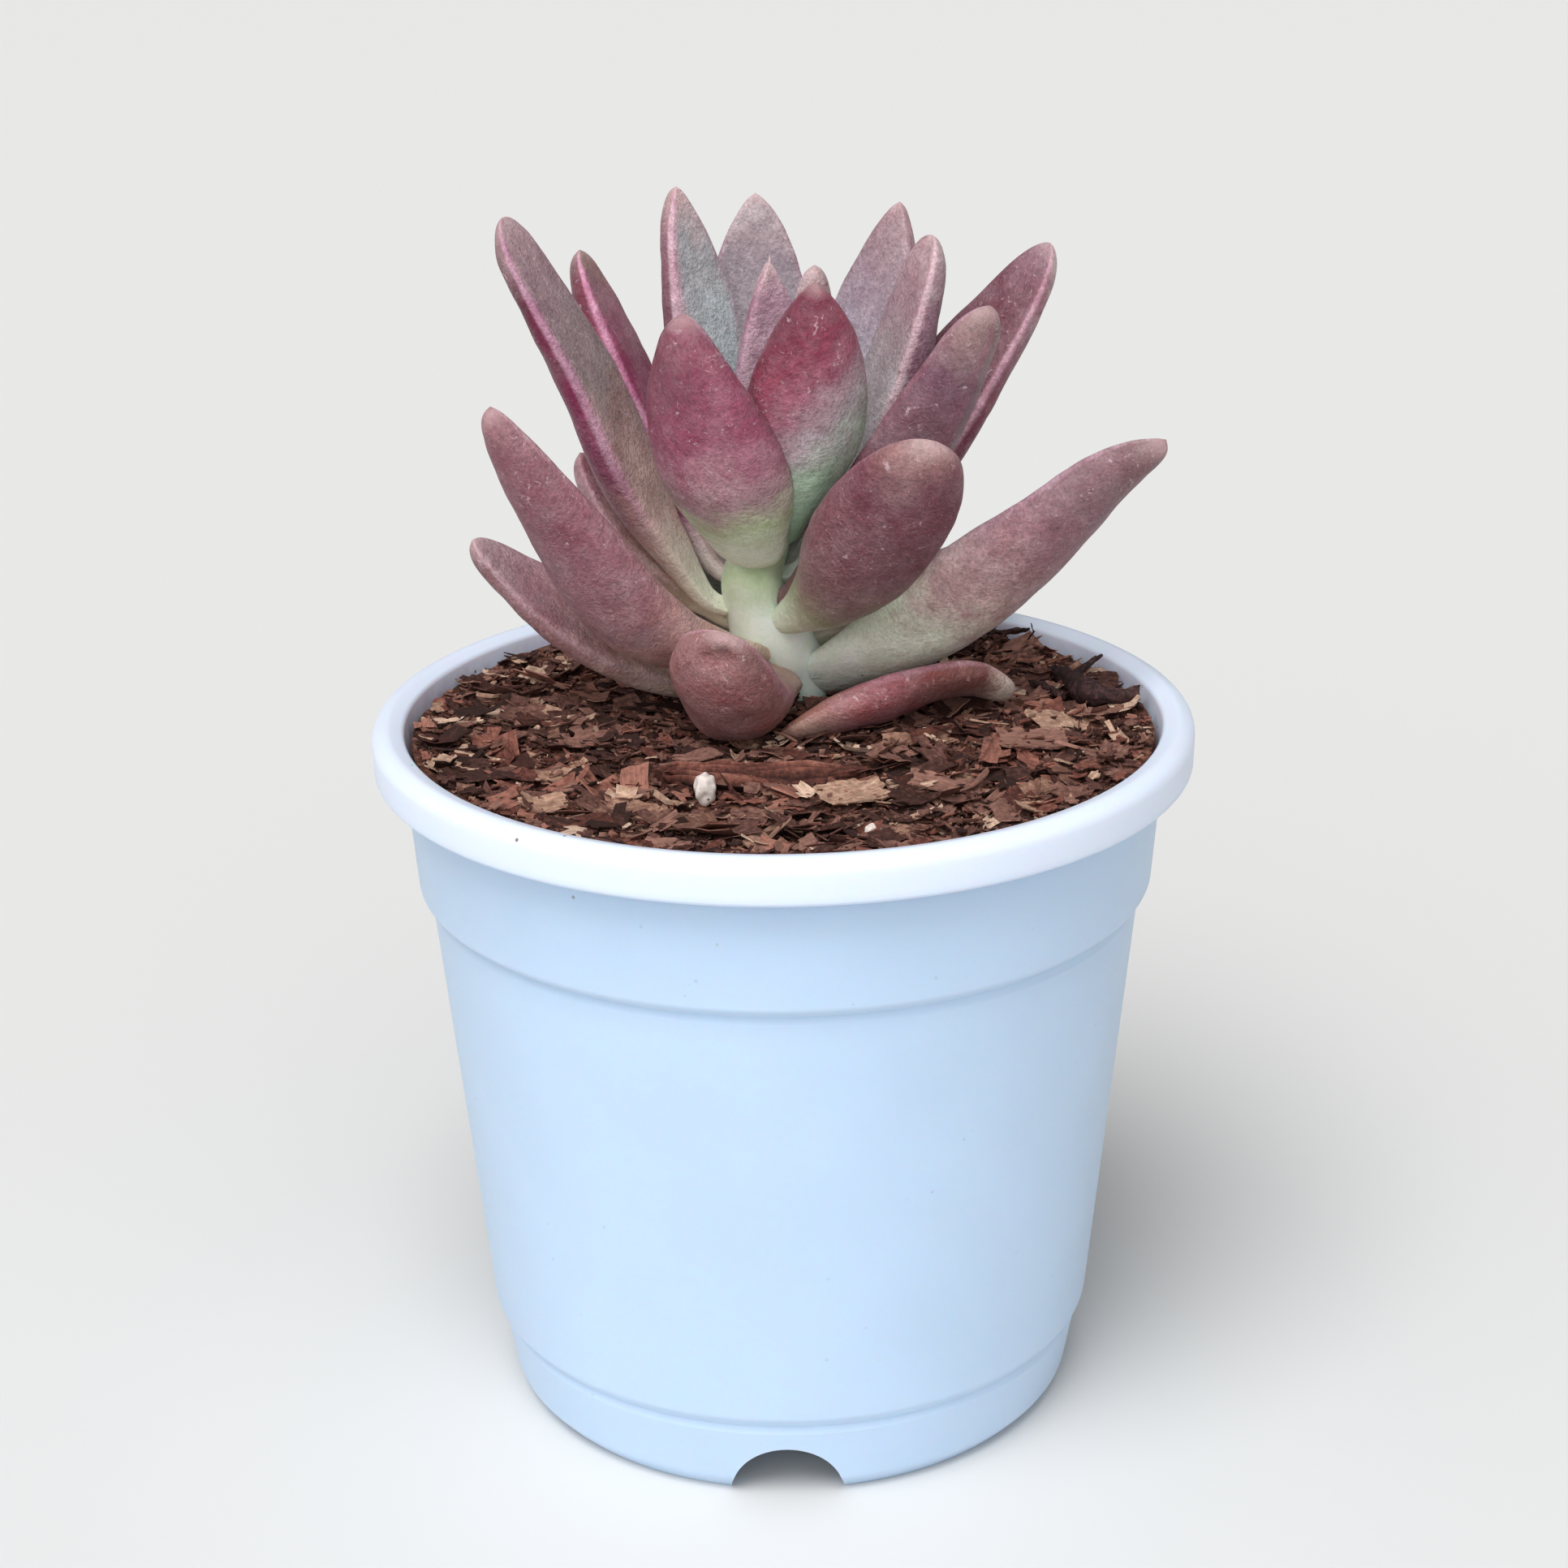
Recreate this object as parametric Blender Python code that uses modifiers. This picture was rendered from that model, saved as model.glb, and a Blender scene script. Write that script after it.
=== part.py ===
"""Potted succulent: a nursery pot, its soil, one stem, its leaves and the litter on the soil.

Metres, +Z up. The origin is on the pot's axis, in the plane that the pot stands on.
-Y is the front of the plant, and +X is to the right.
"""

import math
import random
from typing import NamedTuple

import bmesh
import bpy
from mathutils import Matrix, Vector

MM = 0.001
OBJECT_NAME = "potted_succulent"
GAP = 0.35                     # clearance between neighbouring pieces, mm
ROOT_CLEARANCE = 0.8           # further clearance between a leaf and the leaning stem, mm

# ---- Driving dimensions, mm -------------------------------------------------------------

POT_HEIGHT = 93.4
RIM_RADIUS = 52.5              # outside of the rolled rim
RIM_LIP_DEPTH = 5.9            # height of the rim's hanging skirt
RIM_INNER_RADIUS = 48.4
BODY_TAPER = 0.1               # radius gained for each mm of height
BODY_RADIUS_AT_ZERO = 38.9     # the body cone, carried down to the ground plane
BAND_STEP = 1.3                # how far the band under the rim stands out
BAND_BOTTOM = 71.2
FOOT_TOP = 11.4                # groove between the foot ring and the body
FOOT_RADIUS = 35.6             # edge of the ring where it meets the ground
FOOT_RING_WIDTH = 2.0
WALL = 1.3
FLOOR_TOP = 11.4
FLOOR_THICKNESS = 1.6
NOTCH_HALF_WIDTH = 7.2
NOTCH_HEIGHT = 7.6             # the notch is half an ellipse
NOTCH_BEARINGS = (-91.0, 29.0, 149.0)
DRAIN_RADIUS = 3.0
DRAIN_CIRCLE = 24.0
DRAIN_COUNT = 6
POT_STEPS = 60

SOIL_TOP = 89.6
ROOT_DEPTH = 12.0              # stretch of the stem that stands in the soil

# The stem's centre line from the root up, as (x, y, z, radius).
STEM_LINE = (
    (2.0, 15.4, SOIL_TOP - ROOT_DEPTH, 2.6),
    (2.0, 15.0, 86.0, 3.0),
    (1.2, 14.4, 93.0, 3.4),
    (-2.0, 12.0, 100.0, 3.9),
    (-3.6, 10.0, 107.0, 4.0),
    (-2.2, 10.0, 115.0, 3.6),
    (0.5, 11.0, 124.0, 2.6),
    (1.5, 12.0, 131.0, 1.2),
)
STEM_POINTS = 22

LEAF_STATIONS = (0.0, 0.07, 0.18, 0.32, 0.47, 0.62, 0.76, 0.88, 0.96)
# One half of the leaf's section, as fractions of its half width and of its thickness.
LEAF_UPPER = ((0.62, 0.24), (0.0, 0.16), (-0.62, 0.24))
LEAF_LOWER = ((-0.62, -0.42), (0.0, -0.72), (0.62, -0.42))

MAUVE = (0.26, 0.12, 0.14, 1.0)
GREY_MAUVE = (0.30, 0.20, 0.21, 1.0)
MAROON = (0.23, 0.06, 0.08, 1.0)
GREY_GREEN = (0.36, 0.39, 0.38, 1.0)
PINK = (0.45, 0.24, 0.27, 1.0)
MINT = (0.52, 0.62, 0.47, 1.0)
POT_BLUE = (0.58, 0.74, 0.96, 1.0)
SOIL_BROWN = (0.07, 0.03, 0.02, 1.0)
BARK_BROWN = (0.17, 0.07, 0.045, 1.0)
RED_BARK = (0.22, 0.06, 0.04, 1.0)
TAN = (0.42, 0.26, 0.18, 1.0)
TWIG_DARK = (0.04, 0.025, 0.03, 1.0)
PALE_GRAIN = (0.78, 0.70, 0.60, 1.0)


class Leaf(NamedTuple):
    """One leaf: where it leaves the stem, how it bends, and how big it is."""

    name: str
    height: float              # height of its root on the stem, mm
    bearing: float             # direction it leaves in, degrees from +X towards +Y
    swerve: float              # turn of the bearing along the leaf, degrees
    rise: float                # slope above level at the root, degrees
    lift: float                # slope gained towards the tip, degrees
    length: float
    width: float
    thickness: float
    roll: float                # turn of the blade about its own line, degrees
    twist: float = 0.0         # roll gained towards the tip, degrees
    belly: float = 0.55        # where it is widest, from root to tip
    neck: float = 0.30         # root width, as a fraction of the greatest width
    bluntness: float = 0.8     # lower is blunter
    colour: tuple = MAUVE


LEAVES = (
    Leaf("leaf_01", 92.5, 189, 8, 17, 29, 43.0, 13.0, 6, -28, colour=GREY_MAUVE),
    Leaf("leaf_02", 93.5, 147, 0, 12, 28, 33.0, 12.0, 6, 0, colour=GREY_MAUVE),
    Leaf("leaf_03", 94.5, -15, 4, 34, 8, 53.5, 16.0, 8, -20, -20, 0.42, 0.45),
    Leaf("leaf_04", 95.0, 80, 0, 15, 35, 39.5, 15.0, 7, 0, colour=GREY_MAUVE),
    Leaf("leaf_05", 96.2, -112, 28, -2, 58, 25.5, 15.6, 10.4, 0, 0, 0.55, 0.38, 0.45),
    Leaf("leaf_06", 98.0, 122, 0, 20, 35, 44.0, 15.0, 7, 0, colour=GREY_MAUVE),
    Leaf("leaf_07", 98.0, 38, 0, 5, 15, 34.0, 13.0, 6, 0, colour=GREY_MAUVE),
    Leaf("leaf_08", 99.5, -142, -16, 24, 46, 51.0, 15.0, 8, 18, 0, 0.42, 0.45),
    Leaf("leaf_09", 103.0, 159, 0, 38, 16, 26.5, 13.0, 6, 0, colour=GREY_MAUVE),
    Leaf("leaf_10", 104.0, 92, 0, 32, 28, 42.0, 14.0, 7, 0, colour=GREY_GREEN),
    Leaf("leaf_11", 105.0, -49, 0, 35, 20, 38.5, 16.5, 9, -38, 0, 0.58, 0.34, 0.5),
    Leaf("leaf_12", 112.0, -103, -44, 59, 20, 37.0, 18.0, 9, 0, 0, 0.45, 0.45,
         colour=MAROON),
    Leaf("leaf_13", 106.0, 8, 2, 50, 8, 54.0, 15.0, 8, 25),
    Leaf("leaf_14", 106.5, 186, 0, 60, 8, 54.5, 13.5, 7, -24, 0, 0.45, 0.3, 0.65,
         colour=GREY_MAUVE),
    Leaf("leaf_15", 108.0, -26, 6, 50, 10, 45.5, 12.5, 8, -30),
    Leaf("leaf_16", 107.0, 118, 0, 36, 25, 32.0, 10.0, 7, 0, colour=GREY_MAUVE),
    Leaf("leaf_17", 109.0, 60, 0, 42, 22, 40.0, 13.0, 7, 0, colour=GREY_GREEN),
    Leaf("leaf_18", 110.0, 142, 0, 56, 8, 43.0, 11.5, 7, -10, colour=MAROON),
    Leaf("leaf_19", 111.0, -2, 6, 65, 6, 44.0, 12.0, 7, 0, colour=PINK),
    Leaf("leaf_20", 115.0, 45, 0, 55, 16, 42.5, 14.0, 7, 0, colour=GREY_GREEN),
    Leaf("leaf_21", 116.0, 142, 0, 76, 8, 41.5, 12.0, 7, 0, colour=GREY_GREEN),
    Leaf("leaf_22", 116.0, 92, 0, 57, 16, 41.0, 14.0, 7, 0, colour=GREY_GREEN),
    Leaf("leaf_23", 117.0, -69, 0, 61, 22, 34.5, 16.0, 8, 0, 0, 0.5, colour=MAROON),
    Leaf("leaf_24", 124.0, 117, 0, 88, 8, 24.5, 9.0, 5, 0, colour=PINK),
    Leaf("leaf_25", 124.0, -65, 0, 74, 10, 26.5, 7.0, 4, 0, colour=PINK),
)
# A leaf that has dropped and lies on the soil: its root end, then as above.
FALLEN_ROOT = (1.4, -1.6, 92.2)
FALLEN_LEAF = Leaf("fallen_leaf", 92.0, 14, 12, 27, -40, 31.0, 9.5, 4.8, -16)


class Litter(NamedTuple):
    """One piece lying on the soil: centre, bearing in degrees, size in mm."""

    name: str
    x: float
    y: float
    bearing: float
    length: float
    width: float
    thickness: float
    tilt: float
    colour: tuple


LITTER = (
    Litter("bark_strip", -3.2, -17.0, 4, 21, 8.0, 1.6, 2, RED_BARK),
    Litter("bark_chip_01", 37.0, 1.0, 20, 8.0, 5.0, 0.9, 5, TAN),
    Litter("bark_chip_02", 8.5, -26.0, 35, 7.5, 5.0, 0.9, 4, TAN),
    Litter("bark_chip_03", -40.5, -12.5, 60, 7.5, 5.0, 0.9, 4, TAN),
    Litter("bark_chip_04", -29.0, -27.0, 10, 5.0, 3.4, 0.9, 4, TAN),
    Litter("bark_chip_05", -18.5, -29.5, -20, 7.0, 4.0, 0.9, 3, TAN),
    Litter("bark_chip_06", -27.0, -17.0, 30, 6.5, 2.2, 0.9, 5, TAN),
    Litter("bark_chip_07", -24.0, -5.0, 25, 7.0, 3.0, 0.9, 4, BARK_BROWN),
    Litter("bark_chip_08", -33.5, 6.0, 15, 6.0, 3.6, 0.9, 4, BARK_BROWN),
    Litter("bark_chip_09", 20.0, -23.0, -15, 8.0, 3.6, 0.9, 4, BARK_BROWN),
    Litter("bark_chip_10", 31.5, -8.0, 10, 7.5, 4.4, 0.9, 4, BARK_BROWN),
    Litter("bark_chip_11", 30.5, -25.0, 40, 6.0, 2.8, 0.9, 4, TAN),
    Litter("bark_chip_12", 41.0, -13.0, 70, 5.5, 3.0, 0.9, 4, BARK_BROWN),
    Litter("bark_chip_13", 17.0, -6.0, 12, 8.0, 2.6, 0.9, 3, TAN),
    Litter("bark_chip_14", 2.0, 40.5, 10, 8.0, 4.0, 1.0, 4, BARK_BROWN),
    Litter("bark_chip_15", -20.0, 38.0, -35, 6.5, 4.0, 1.0, 4, TAN),
    Litter("splinter", -42.5, 2.0, 12, 7.0, 1.1, 0.8, 3, RED_BARK),
    Litter("twig_01", 41.8, 14.8, -66, 18, 2.2, 2.2, 3, TWIG_DARK),
    Litter("twig_02", 29.4, 34.6, -25, 10.5, 1.1, 1.1, 3, TWIG_DARK),
    Litter("grain_01", -9.5, -25.5, 40, 2.8, 2.0, 1.8, 0, PALE_GRAIN),
    Litter("grain_02", 10.5, -36.5, 0, 1.8, 1.6, 1.4, 0, PALE_GRAIN),
)


# ---- Shared helpers ---------------------------------------------------------------------

def clear_scene():
    """Remove every object that the file opened with."""
    for obj in list(bpy.data.objects):
        bpy.data.objects.remove(obj, do_unlink=True)


def make_collection(name):
    """Return a new collection, linked to the scene."""
    collection = bpy.data.collections.new(name)
    bpy.context.scene.collection.children.link(collection)
    return collection


def make_material(name, colour, roughness):
    """Return a plain Principled material in one colour."""
    material = bpy.data.materials.new(name)
    material.use_nodes = True
    shader = material.node_tree.nodes["Principled BSDF"]
    shader.inputs["Base Color"].default_value = colour
    shader.inputs["Roughness"].default_value = roughness
    shader.inputs["Metallic"].default_value = 0.0
    material.diffuse_color = colour
    return material


def add_object(name, data, collection, colour=None, roughness=0.6):
    """Link an object for the data, with its own material if it has a colour."""
    obj = bpy.data.objects.new(name, data)
    collection.objects.link(obj)
    if colour is not None:
        data.materials.append(make_material(name, colour, roughness))
    return obj


def mesh_from(bm, name):
    """Turn a bmesh in mm into a mesh in metres."""
    bmesh.ops.scale(bm, vec=(MM, MM, MM), verts=bm.verts)
    mesh = bpy.data.meshes.new(name)
    bm.to_mesh(mesh)
    bm.free()
    return mesh


def rounded(corners, steps=2):
    """Return the outline through (radius, height, fillet) corners, fillets as arcs."""
    points = []
    last = len(corners) - 1
    for index, (r, z, fillet) in enumerate(corners):
        here = Vector((r, z))
        if fillet == 0 or index in (0, last):
            points.append(here)
            continue
        back = (Vector(corners[index - 1][:2]) - here).normalized()
        ahead = (Vector(corners[index + 1][:2]) - here).normalized()
        half = back.angle(ahead) / 2
        centre = here + (back + ahead).normalized() * (fillet / math.sin(half))
        start = here + back * (fillet / math.tan(half))
        end = here + ahead * (fillet / math.tan(half))
        for step in range(steps + 1):
            blend = start.lerp(end, step / steps)
            points.append(centre + (blend - centre).normalized() * fillet)
    return points


def turned(name, outline, collection, colour, roughness):
    """Turn an outline of (radius, height) points about the Z axis."""
    mesh = bpy.data.meshes.new(name)
    verts = [(p[0] * MM, 0.0, p[1] * MM) for p in outline]
    edges = [(i, i + 1) for i in range(len(verts) - 1)]
    mesh.from_pydata(verts, edges, [])
    obj = add_object(name, mesh, collection, colour, roughness)
    screw = obj.modifiers.new("Turn", "SCREW")
    screw.axis = "Z"
    screw.steps = POT_STEPS
    screw.render_steps = POT_STEPS
    screw.use_merge_vertices = True
    screw.merge_threshold = 0.00005
    screw.use_smooth_shade = True
    return obj


def add_cutter(name, mesh, target, cutters):
    """Cut the mesh's shape out of the target with a Boolean."""
    cutter = add_object(name, mesh, cutters)
    cutter.hide_render = True
    cutter.display_type = "WIRE"
    cut = target.modifiers.new("Cut " + name, "BOOLEAN")
    cut.operation = "DIFFERENCE"
    cut.solver = "EXACT"
    cut.object = cutter
    return cutter


# ---- Pot --------------------------------------------------------------------------------

def body_radius(z):
    """Outer radius of the pot's body cone at a height."""
    return BODY_RADIUS_AT_ZERO + BODY_TAPER * z


def inner_radius(z):
    """Radius of the pot's inside wall at a height."""
    step = BAND_STEP if z > BAND_BOTTOM + 1.5 else 0.0
    return body_radius(z) + step - WALL


def pot_outline():
    """Section of the pot, from the floor's centre round to its underside."""
    rim_bottom = POT_HEIGHT - RIM_LIP_DEPTH
    skirt_inner = RIM_RADIUS - 1.9
    ring_inner = FOOT_RADIUS - FOOT_RING_WIDTH
    floor_bottom = FLOOR_TOP - FLOOR_THICKNESS
    band_bottom_radius = body_radius(BAND_BOTTOM) + BAND_STEP
    corners = (
        (0.0, FLOOR_TOP, 0),
        (inner_radius(FLOOR_TOP), FLOOR_TOP, 1.5),
        (inner_radius(BAND_BOTTOM), BAND_BOTTOM + 1.0, 0),
        (inner_radius(BAND_BOTTOM + 3.0), BAND_BOTTOM + 2.8, 0),
        (inner_radius(rim_bottom), rim_bottom, 0),
        (RIM_INNER_RADIUS, POT_HEIGHT - 0.7, 0.8),
        (RIM_INNER_RADIUS + 2.2, POT_HEIGHT, 1.5),
        (RIM_RADIUS, POT_HEIGHT - 0.9, 1.6),
        (RIM_RADIUS - 0.1, rim_bottom, 0.7),
        (skirt_inner, rim_bottom, 0.4),
        (skirt_inner, POT_HEIGHT - 2.4, 0.4),
        (body_radius(rim_bottom) + BAND_STEP + 0.3, POT_HEIGHT - 2.4, 0.4),
        (body_radius(rim_bottom) + BAND_STEP - 0.3, rim_bottom, 0),
        (band_bottom_radius + 0.1, BAND_BOTTOM + 1.0, 1.6),
        (body_radius(BAND_BOTTOM) + 0.1, BAND_BOTTOM - 0.2, 0),
        (body_radius(FOOT_TOP + 1.2), FOOT_TOP + 1.2, 1.6),
        (body_radius(FOOT_TOP) - 0.9, FOOT_TOP - 0.1, 0),
        (FOOT_RADIUS + 2.0, 2.2, 2.4),
        (FOOT_RADIUS, 0.0, 0),
        (ring_inner, 0.0, 0),
        (body_radius(floor_bottom) - 2.6, floor_bottom, 0.8),
        (0.0, floor_bottom, 0),
    )
    return rounded(corners)


def notch_mesh(bearing):
    """An elliptical bar that cuts one arched drain notch through the foot ring."""
    bm = bmesh.new()
    bmesh.ops.create_cone(bm, cap_ends=True, segments=24, radius1=1.0, radius2=1.0,
                          depth=16.0)
    bmesh.ops.rotate(bm, matrix=Matrix.Rotation(math.radians(90), 3, "Y"), verts=bm.verts)
    bmesh.ops.scale(bm, vec=(1.0, NOTCH_HALF_WIDTH, NOTCH_HEIGHT), verts=bm.verts)
    place = Matrix.Rotation(math.radians(bearing), 4, "Z")
    place = place @ Matrix.Translation((FOOT_RADIUS, 0, 0))
    bmesh.ops.transform(bm, matrix=place, verts=bm.verts)
    return mesh_from(bm, "notch")


def drain_mesh(x, y, radius):
    """A cylinder that cuts one drain hole through the floor."""
    bm = bmesh.new()
    place = Matrix.Translation((x, y, FLOOR_TOP - FLOOR_THICKNESS / 2))
    bmesh.ops.create_cone(bm, cap_ends=True, segments=20, radius1=radius, radius2=radius,
                          depth=4 * FLOOR_THICKNESS, matrix=place)
    return mesh_from(bm, "drain")


def make_pot(parts, cutters):
    """The turned pot, with its notched foot and its drained floor."""
    pot = turned("pot", pot_outline(), parts, POT_BLUE, 0.35)
    for index, bearing in enumerate(NOTCH_BEARINGS):
        add_cutter("notch_%d" % index, notch_mesh(bearing), pot, cutters)
    add_cutter("drain_centre", drain_mesh(0, 0, DRAIN_RADIUS + 1.0), pot, cutters)
    for index in range(DRAIN_COUNT):
        turn = 2 * math.pi * index / DRAIN_COUNT
        mesh = drain_mesh(DRAIN_CIRCLE * math.cos(turn), DRAIN_CIRCLE * math.sin(turn),
                          DRAIN_RADIUS)
        add_cutter("drain_%d" % index, mesh, pot, cutters)
    return pot


# ---- Soil and stem ----------------------------------------------------------------------

def make_soil(parts, cutters):
    """The plug of soil that fills the pot, with a socket for the root."""
    bottom = FLOOR_TOP + GAP
    corners = (
        (0.0, SOIL_TOP, 0),
        (inner_radius(SOIL_TOP) - GAP, SOIL_TOP, 0),
        (inner_radius(BAND_BOTTOM + 3.0) - GAP, BAND_BOTTOM + 3.2, 0),
        (inner_radius(BAND_BOTTOM) - GAP, BAND_BOTTOM + 0.6, 0),
        (inner_radius(bottom + 2.0) - GAP, bottom + 2.0, 0),
        (inner_radius(bottom) - GAP - 1.6, bottom, 0),
        (0.0, bottom, 0),
    )
    soil = turned("soil", rounded(corners), parts, SOIL_BROWN, 0.95)
    root = STEM_LINE[0]
    neck = STEM_LINE[1]
    bm = bmesh.new()
    depth = ROOT_DEPTH + GAP
    place = Matrix.Translation(((root[0] + neck[0]) / 2, (root[1] + neck[1]) / 2,
                                SOIL_TOP - depth / 2 + 1.0))
    radius = neck[3] + 0.45 + GAP
    bmesh.ops.create_cone(bm, cap_ends=True, segments=16, radius1=radius, radius2=radius,
                          depth=depth + 2.0, matrix=place)
    add_cutter("root_socket", mesh_from(bm, "root_socket"), soil, cutters)
    return soil


def stem_at(z):
    """Centre and radius of the stem at a height, along a smooth curve."""
    heights = [p[2] for p in STEM_LINE]
    z = min(max(z, heights[0]), heights[-1])
    k = max(i for i in range(len(heights) - 1) if heights[i] <= z)
    span = heights[k + 1] - heights[k]
    t = (z - heights[k]) / span
    before = STEM_LINE[max(k - 1, 0)]
    after = STEM_LINE[min(k + 2, len(STEM_LINE) - 1)]
    a, b = STEM_LINE[k], STEM_LINE[k + 1]
    values = []
    for axis in (0, 1, 3):
        slope_a = (b[axis] - before[axis]) / (b[2] - before[2]) * span
        slope_b = (after[axis] - a[axis]) / (after[2] - a[2]) * span
        values.append(a[axis] * (2 * t**3 - 3 * t**2 + 1) + b[axis] * (3 * t**2 - 2 * t**3)
                      + slope_a * (t**3 - 2 * t**2 + t) + slope_b * (t**3 - t**2))
    return Vector((values[0], values[1], z)), values[2]


def make_stem(parts):
    """The stem: one fleshy tube that leans, swells under the crown and tapers off."""
    curve = bpy.data.curves.new("stem", "CURVE")
    curve.dimensions = "3D"
    curve.bevel_depth = MM
    curve.bevel_resolution = 3
    curve.use_fill_caps = True
    spline = curve.splines.new("POLY")
    spline.points.add(STEM_POINTS - 1)
    low, high = STEM_LINE[0][2], STEM_LINE[-1][2]
    for index, point in enumerate(spline.points):
        centre, radius = stem_at(low + (high - low) * index / (STEM_POINTS - 1))
        point.co = (*(centre * MM), 1.0)
        point.radius = radius
    return add_object("stem", curve, parts, MINT, 0.5)


# ---- Leaves -----------------------------------------------------------------------------

def leaf_heading(leaf, along):
    """Unit direction, upper-face normal and side of the leaf at a fraction of its length."""
    slope = math.radians(leaf.rise + leaf.lift * along)
    bearing = math.radians(leaf.bearing + leaf.swerve * along)
    flat = Vector((math.cos(bearing), math.sin(bearing), 0))
    direction = flat * math.cos(slope) + Vector((0, 0, math.sin(slope)))
    normal = flat * -math.sin(slope) + Vector((0, 0, math.cos(slope)))
    side = direction.cross(normal)
    roll = math.radians(leaf.roll + leaf.twist * along)
    turned_normal = normal * math.cos(roll) + side * math.sin(roll)
    turned_side = side * math.cos(roll) - normal * math.sin(roll)
    return direction, turned_normal, turned_side


def leaf_half_width(leaf, along):
    """Half the leaf's width at a fraction of its length."""
    if along < leaf.belly:
        swell = math.sin(along / leaf.belly * math.pi / 2) ** 1.3
        return (leaf.neck + (1 - leaf.neck) * swell) * leaf.width / 2
    rest = (along - leaf.belly) / (1 - leaf.belly)
    return (1 - rest**2) ** leaf.bluntness * leaf.width / 2


def leaf_thickness(leaf, along):
    """The leaf's thickness at a fraction of its length."""
    thickest = 0.4
    if along < thickest:
        swell = math.sin(along / thickest * math.pi / 2)
        return (0.42 + 0.58 * swell) * leaf.thickness
    rest = (along - thickest) / (1 - thickest)
    return (1 - 0.35 * rest) * (1 - rest**3.2) ** 0.6 * leaf.thickness


def leaf_root(leaf):
    """Centre of the leaf's root, clear of the stem's skin."""
    centre, radius = stem_at(leaf.height)
    direction, normal, _ = leaf_heading(leaf, 0.0)
    outward = Vector((direction.x, direction.y, 0)).normalized()
    reach = leaf_thickness(leaf, 0.0) * 0.72 * abs(normal.dot(outward))
    return centre + outward * (radius + GAP + ROOT_CLEARANCE + reach)


def leaf_mesh(leaf, root):
    """Loft the leaf's keeled sections along its bent line, and close both ends."""
    section = ((1.0, 0.0), *LEAF_UPPER, (-1.0, 0.0), *LEAF_LOWER)
    steps = 40
    line = [root]
    for step in range(steps):
        direction, _, _ = leaf_heading(leaf, (step + 0.5) / steps)
        line.append(line[-1] + direction * (leaf.length / steps))
    bm = bmesh.new()
    rings = []
    for along in LEAF_STATIONS:
        exact = along * steps
        k = min(int(exact), steps - 1)
        centre = line[k].lerp(line[k + 1], exact - k)
        _, normal, side = leaf_heading(leaf, along)
        half, thick = leaf_half_width(leaf, along), leaf_thickness(leaf, along)
        rings.append([bm.verts.new(centre + side * (x * half) + normal * (y * thick))
                      for x, y in section])
    count = len(section)
    for low, high in zip(rings, rings[1:]):
        for i in range(count):
            j = (i + 1) % count
            bm.faces.new((low[i], low[j], high[j], high[i]))
    bm.faces.new(reversed(rings[0]))
    tip = bm.verts.new(line[-1])
    for i in range(count):
        bm.faces.new((rings[-1][i], rings[-1][(i + 1) % count], tip))
    bmesh.ops.recalc_face_normals(bm, faces=bm.faces)
    return mesh_from(bm, leaf.name)


def make_leaves(parts):
    """Every leaf on the stem, and the one that lies on the soil."""
    placed = [(leaf, leaf_root(leaf)) for leaf in LEAVES]
    placed.append((FALLEN_LEAF, Vector(FALLEN_ROOT)))
    for leaf, root in placed:
        mesh = leaf_mesh(leaf, root)
        mesh.shade_smooth()
        mesh.set_sharp_from_angle(angle=math.radians(60))
        add_object(leaf.name, mesh, parts, leaf.colour, 0.5)


# ---- Litter -----------------------------------------------------------------------------

def litter_mesh(piece, seed):
    """A ragged flat chip, a tapered twig or a grain, lying just clear of the soil."""
    rng = random.Random(seed)
    bm = bmesh.new()
    if piece.name.startswith("twig"):
        lay = Matrix.Rotation(math.radians(90), 4, "Y")
        bmesh.ops.create_cone(bm, cap_ends=True, segments=6, radius1=0.5, radius2=0.3,
                              depth=1.0, matrix=lay)
    elif piece.name.startswith("grain"):
        bmesh.ops.create_icosphere(bm, subdivisions=1, radius=0.5)
    else:
        bmesh.ops.create_cone(bm, cap_ends=True, segments=7, radius1=0.5, radius2=0.47,
                              depth=1.0)
        for vert in bm.verts:
            if vert.co.z > 0:
                continue
            ragged = rng.uniform(0.86, 1.1)
            twin = min((v for v in bm.verts if v.co.z > 0),
                       key=lambda v: (v.co.xy - vert.co.xy).length)
            vert.co.xy *= ragged
            twin.co.xy *= ragged
    bmesh.ops.scale(bm, vec=(piece.length, piece.width, piece.thickness), verts=bm.verts)
    turn = Matrix.Rotation(math.radians(piece.bearing), 4, "Z")
    turn = turn @ Matrix.Rotation(math.radians(piece.tilt), 4, "Y")
    bmesh.ops.transform(bm, matrix=turn, verts=bm.verts)
    lowest = min(v.co.z for v in bm.verts)
    bmesh.ops.translate(bm, vec=(piece.x, piece.y, SOIL_TOP + GAP - lowest), verts=bm.verts)
    bmesh.ops.recalc_face_normals(bm, faces=bm.faces)
    return mesh_from(bm, piece.name)


def make_litter(parts):
    """The bark, twigs and grains on the soil."""
    for seed, piece in enumerate(LITTER):
        add_object(piece.name, litter_mesh(piece, seed), parts, piece.colour, 0.9)


def main():
    """Build the whole object."""
    clear_scene()
    parts = make_collection(OBJECT_NAME)
    cutters = make_collection("cutters")
    make_pot(parts, cutters)
    make_soil(parts, cutters)
    make_stem(parts)
    make_leaves(parts)
    make_litter(parts)


if __name__ == "__main__":
    main()
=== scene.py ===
"""A mauve rosette succulent in a pale blue nursery pot of bark mix, on a pale studio floor.

Sizes are in millimetres and become metres where a mesh is made. The frame is the part's own:
the origin is under the pot on its axis, +Z is up, -Y is the front and +X is to the right.
"""

import logging
import math
from dataclasses import dataclass
from enum import Enum

import bpy
import numpy as np
from mathutils import Matrix, Vector, noise


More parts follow.
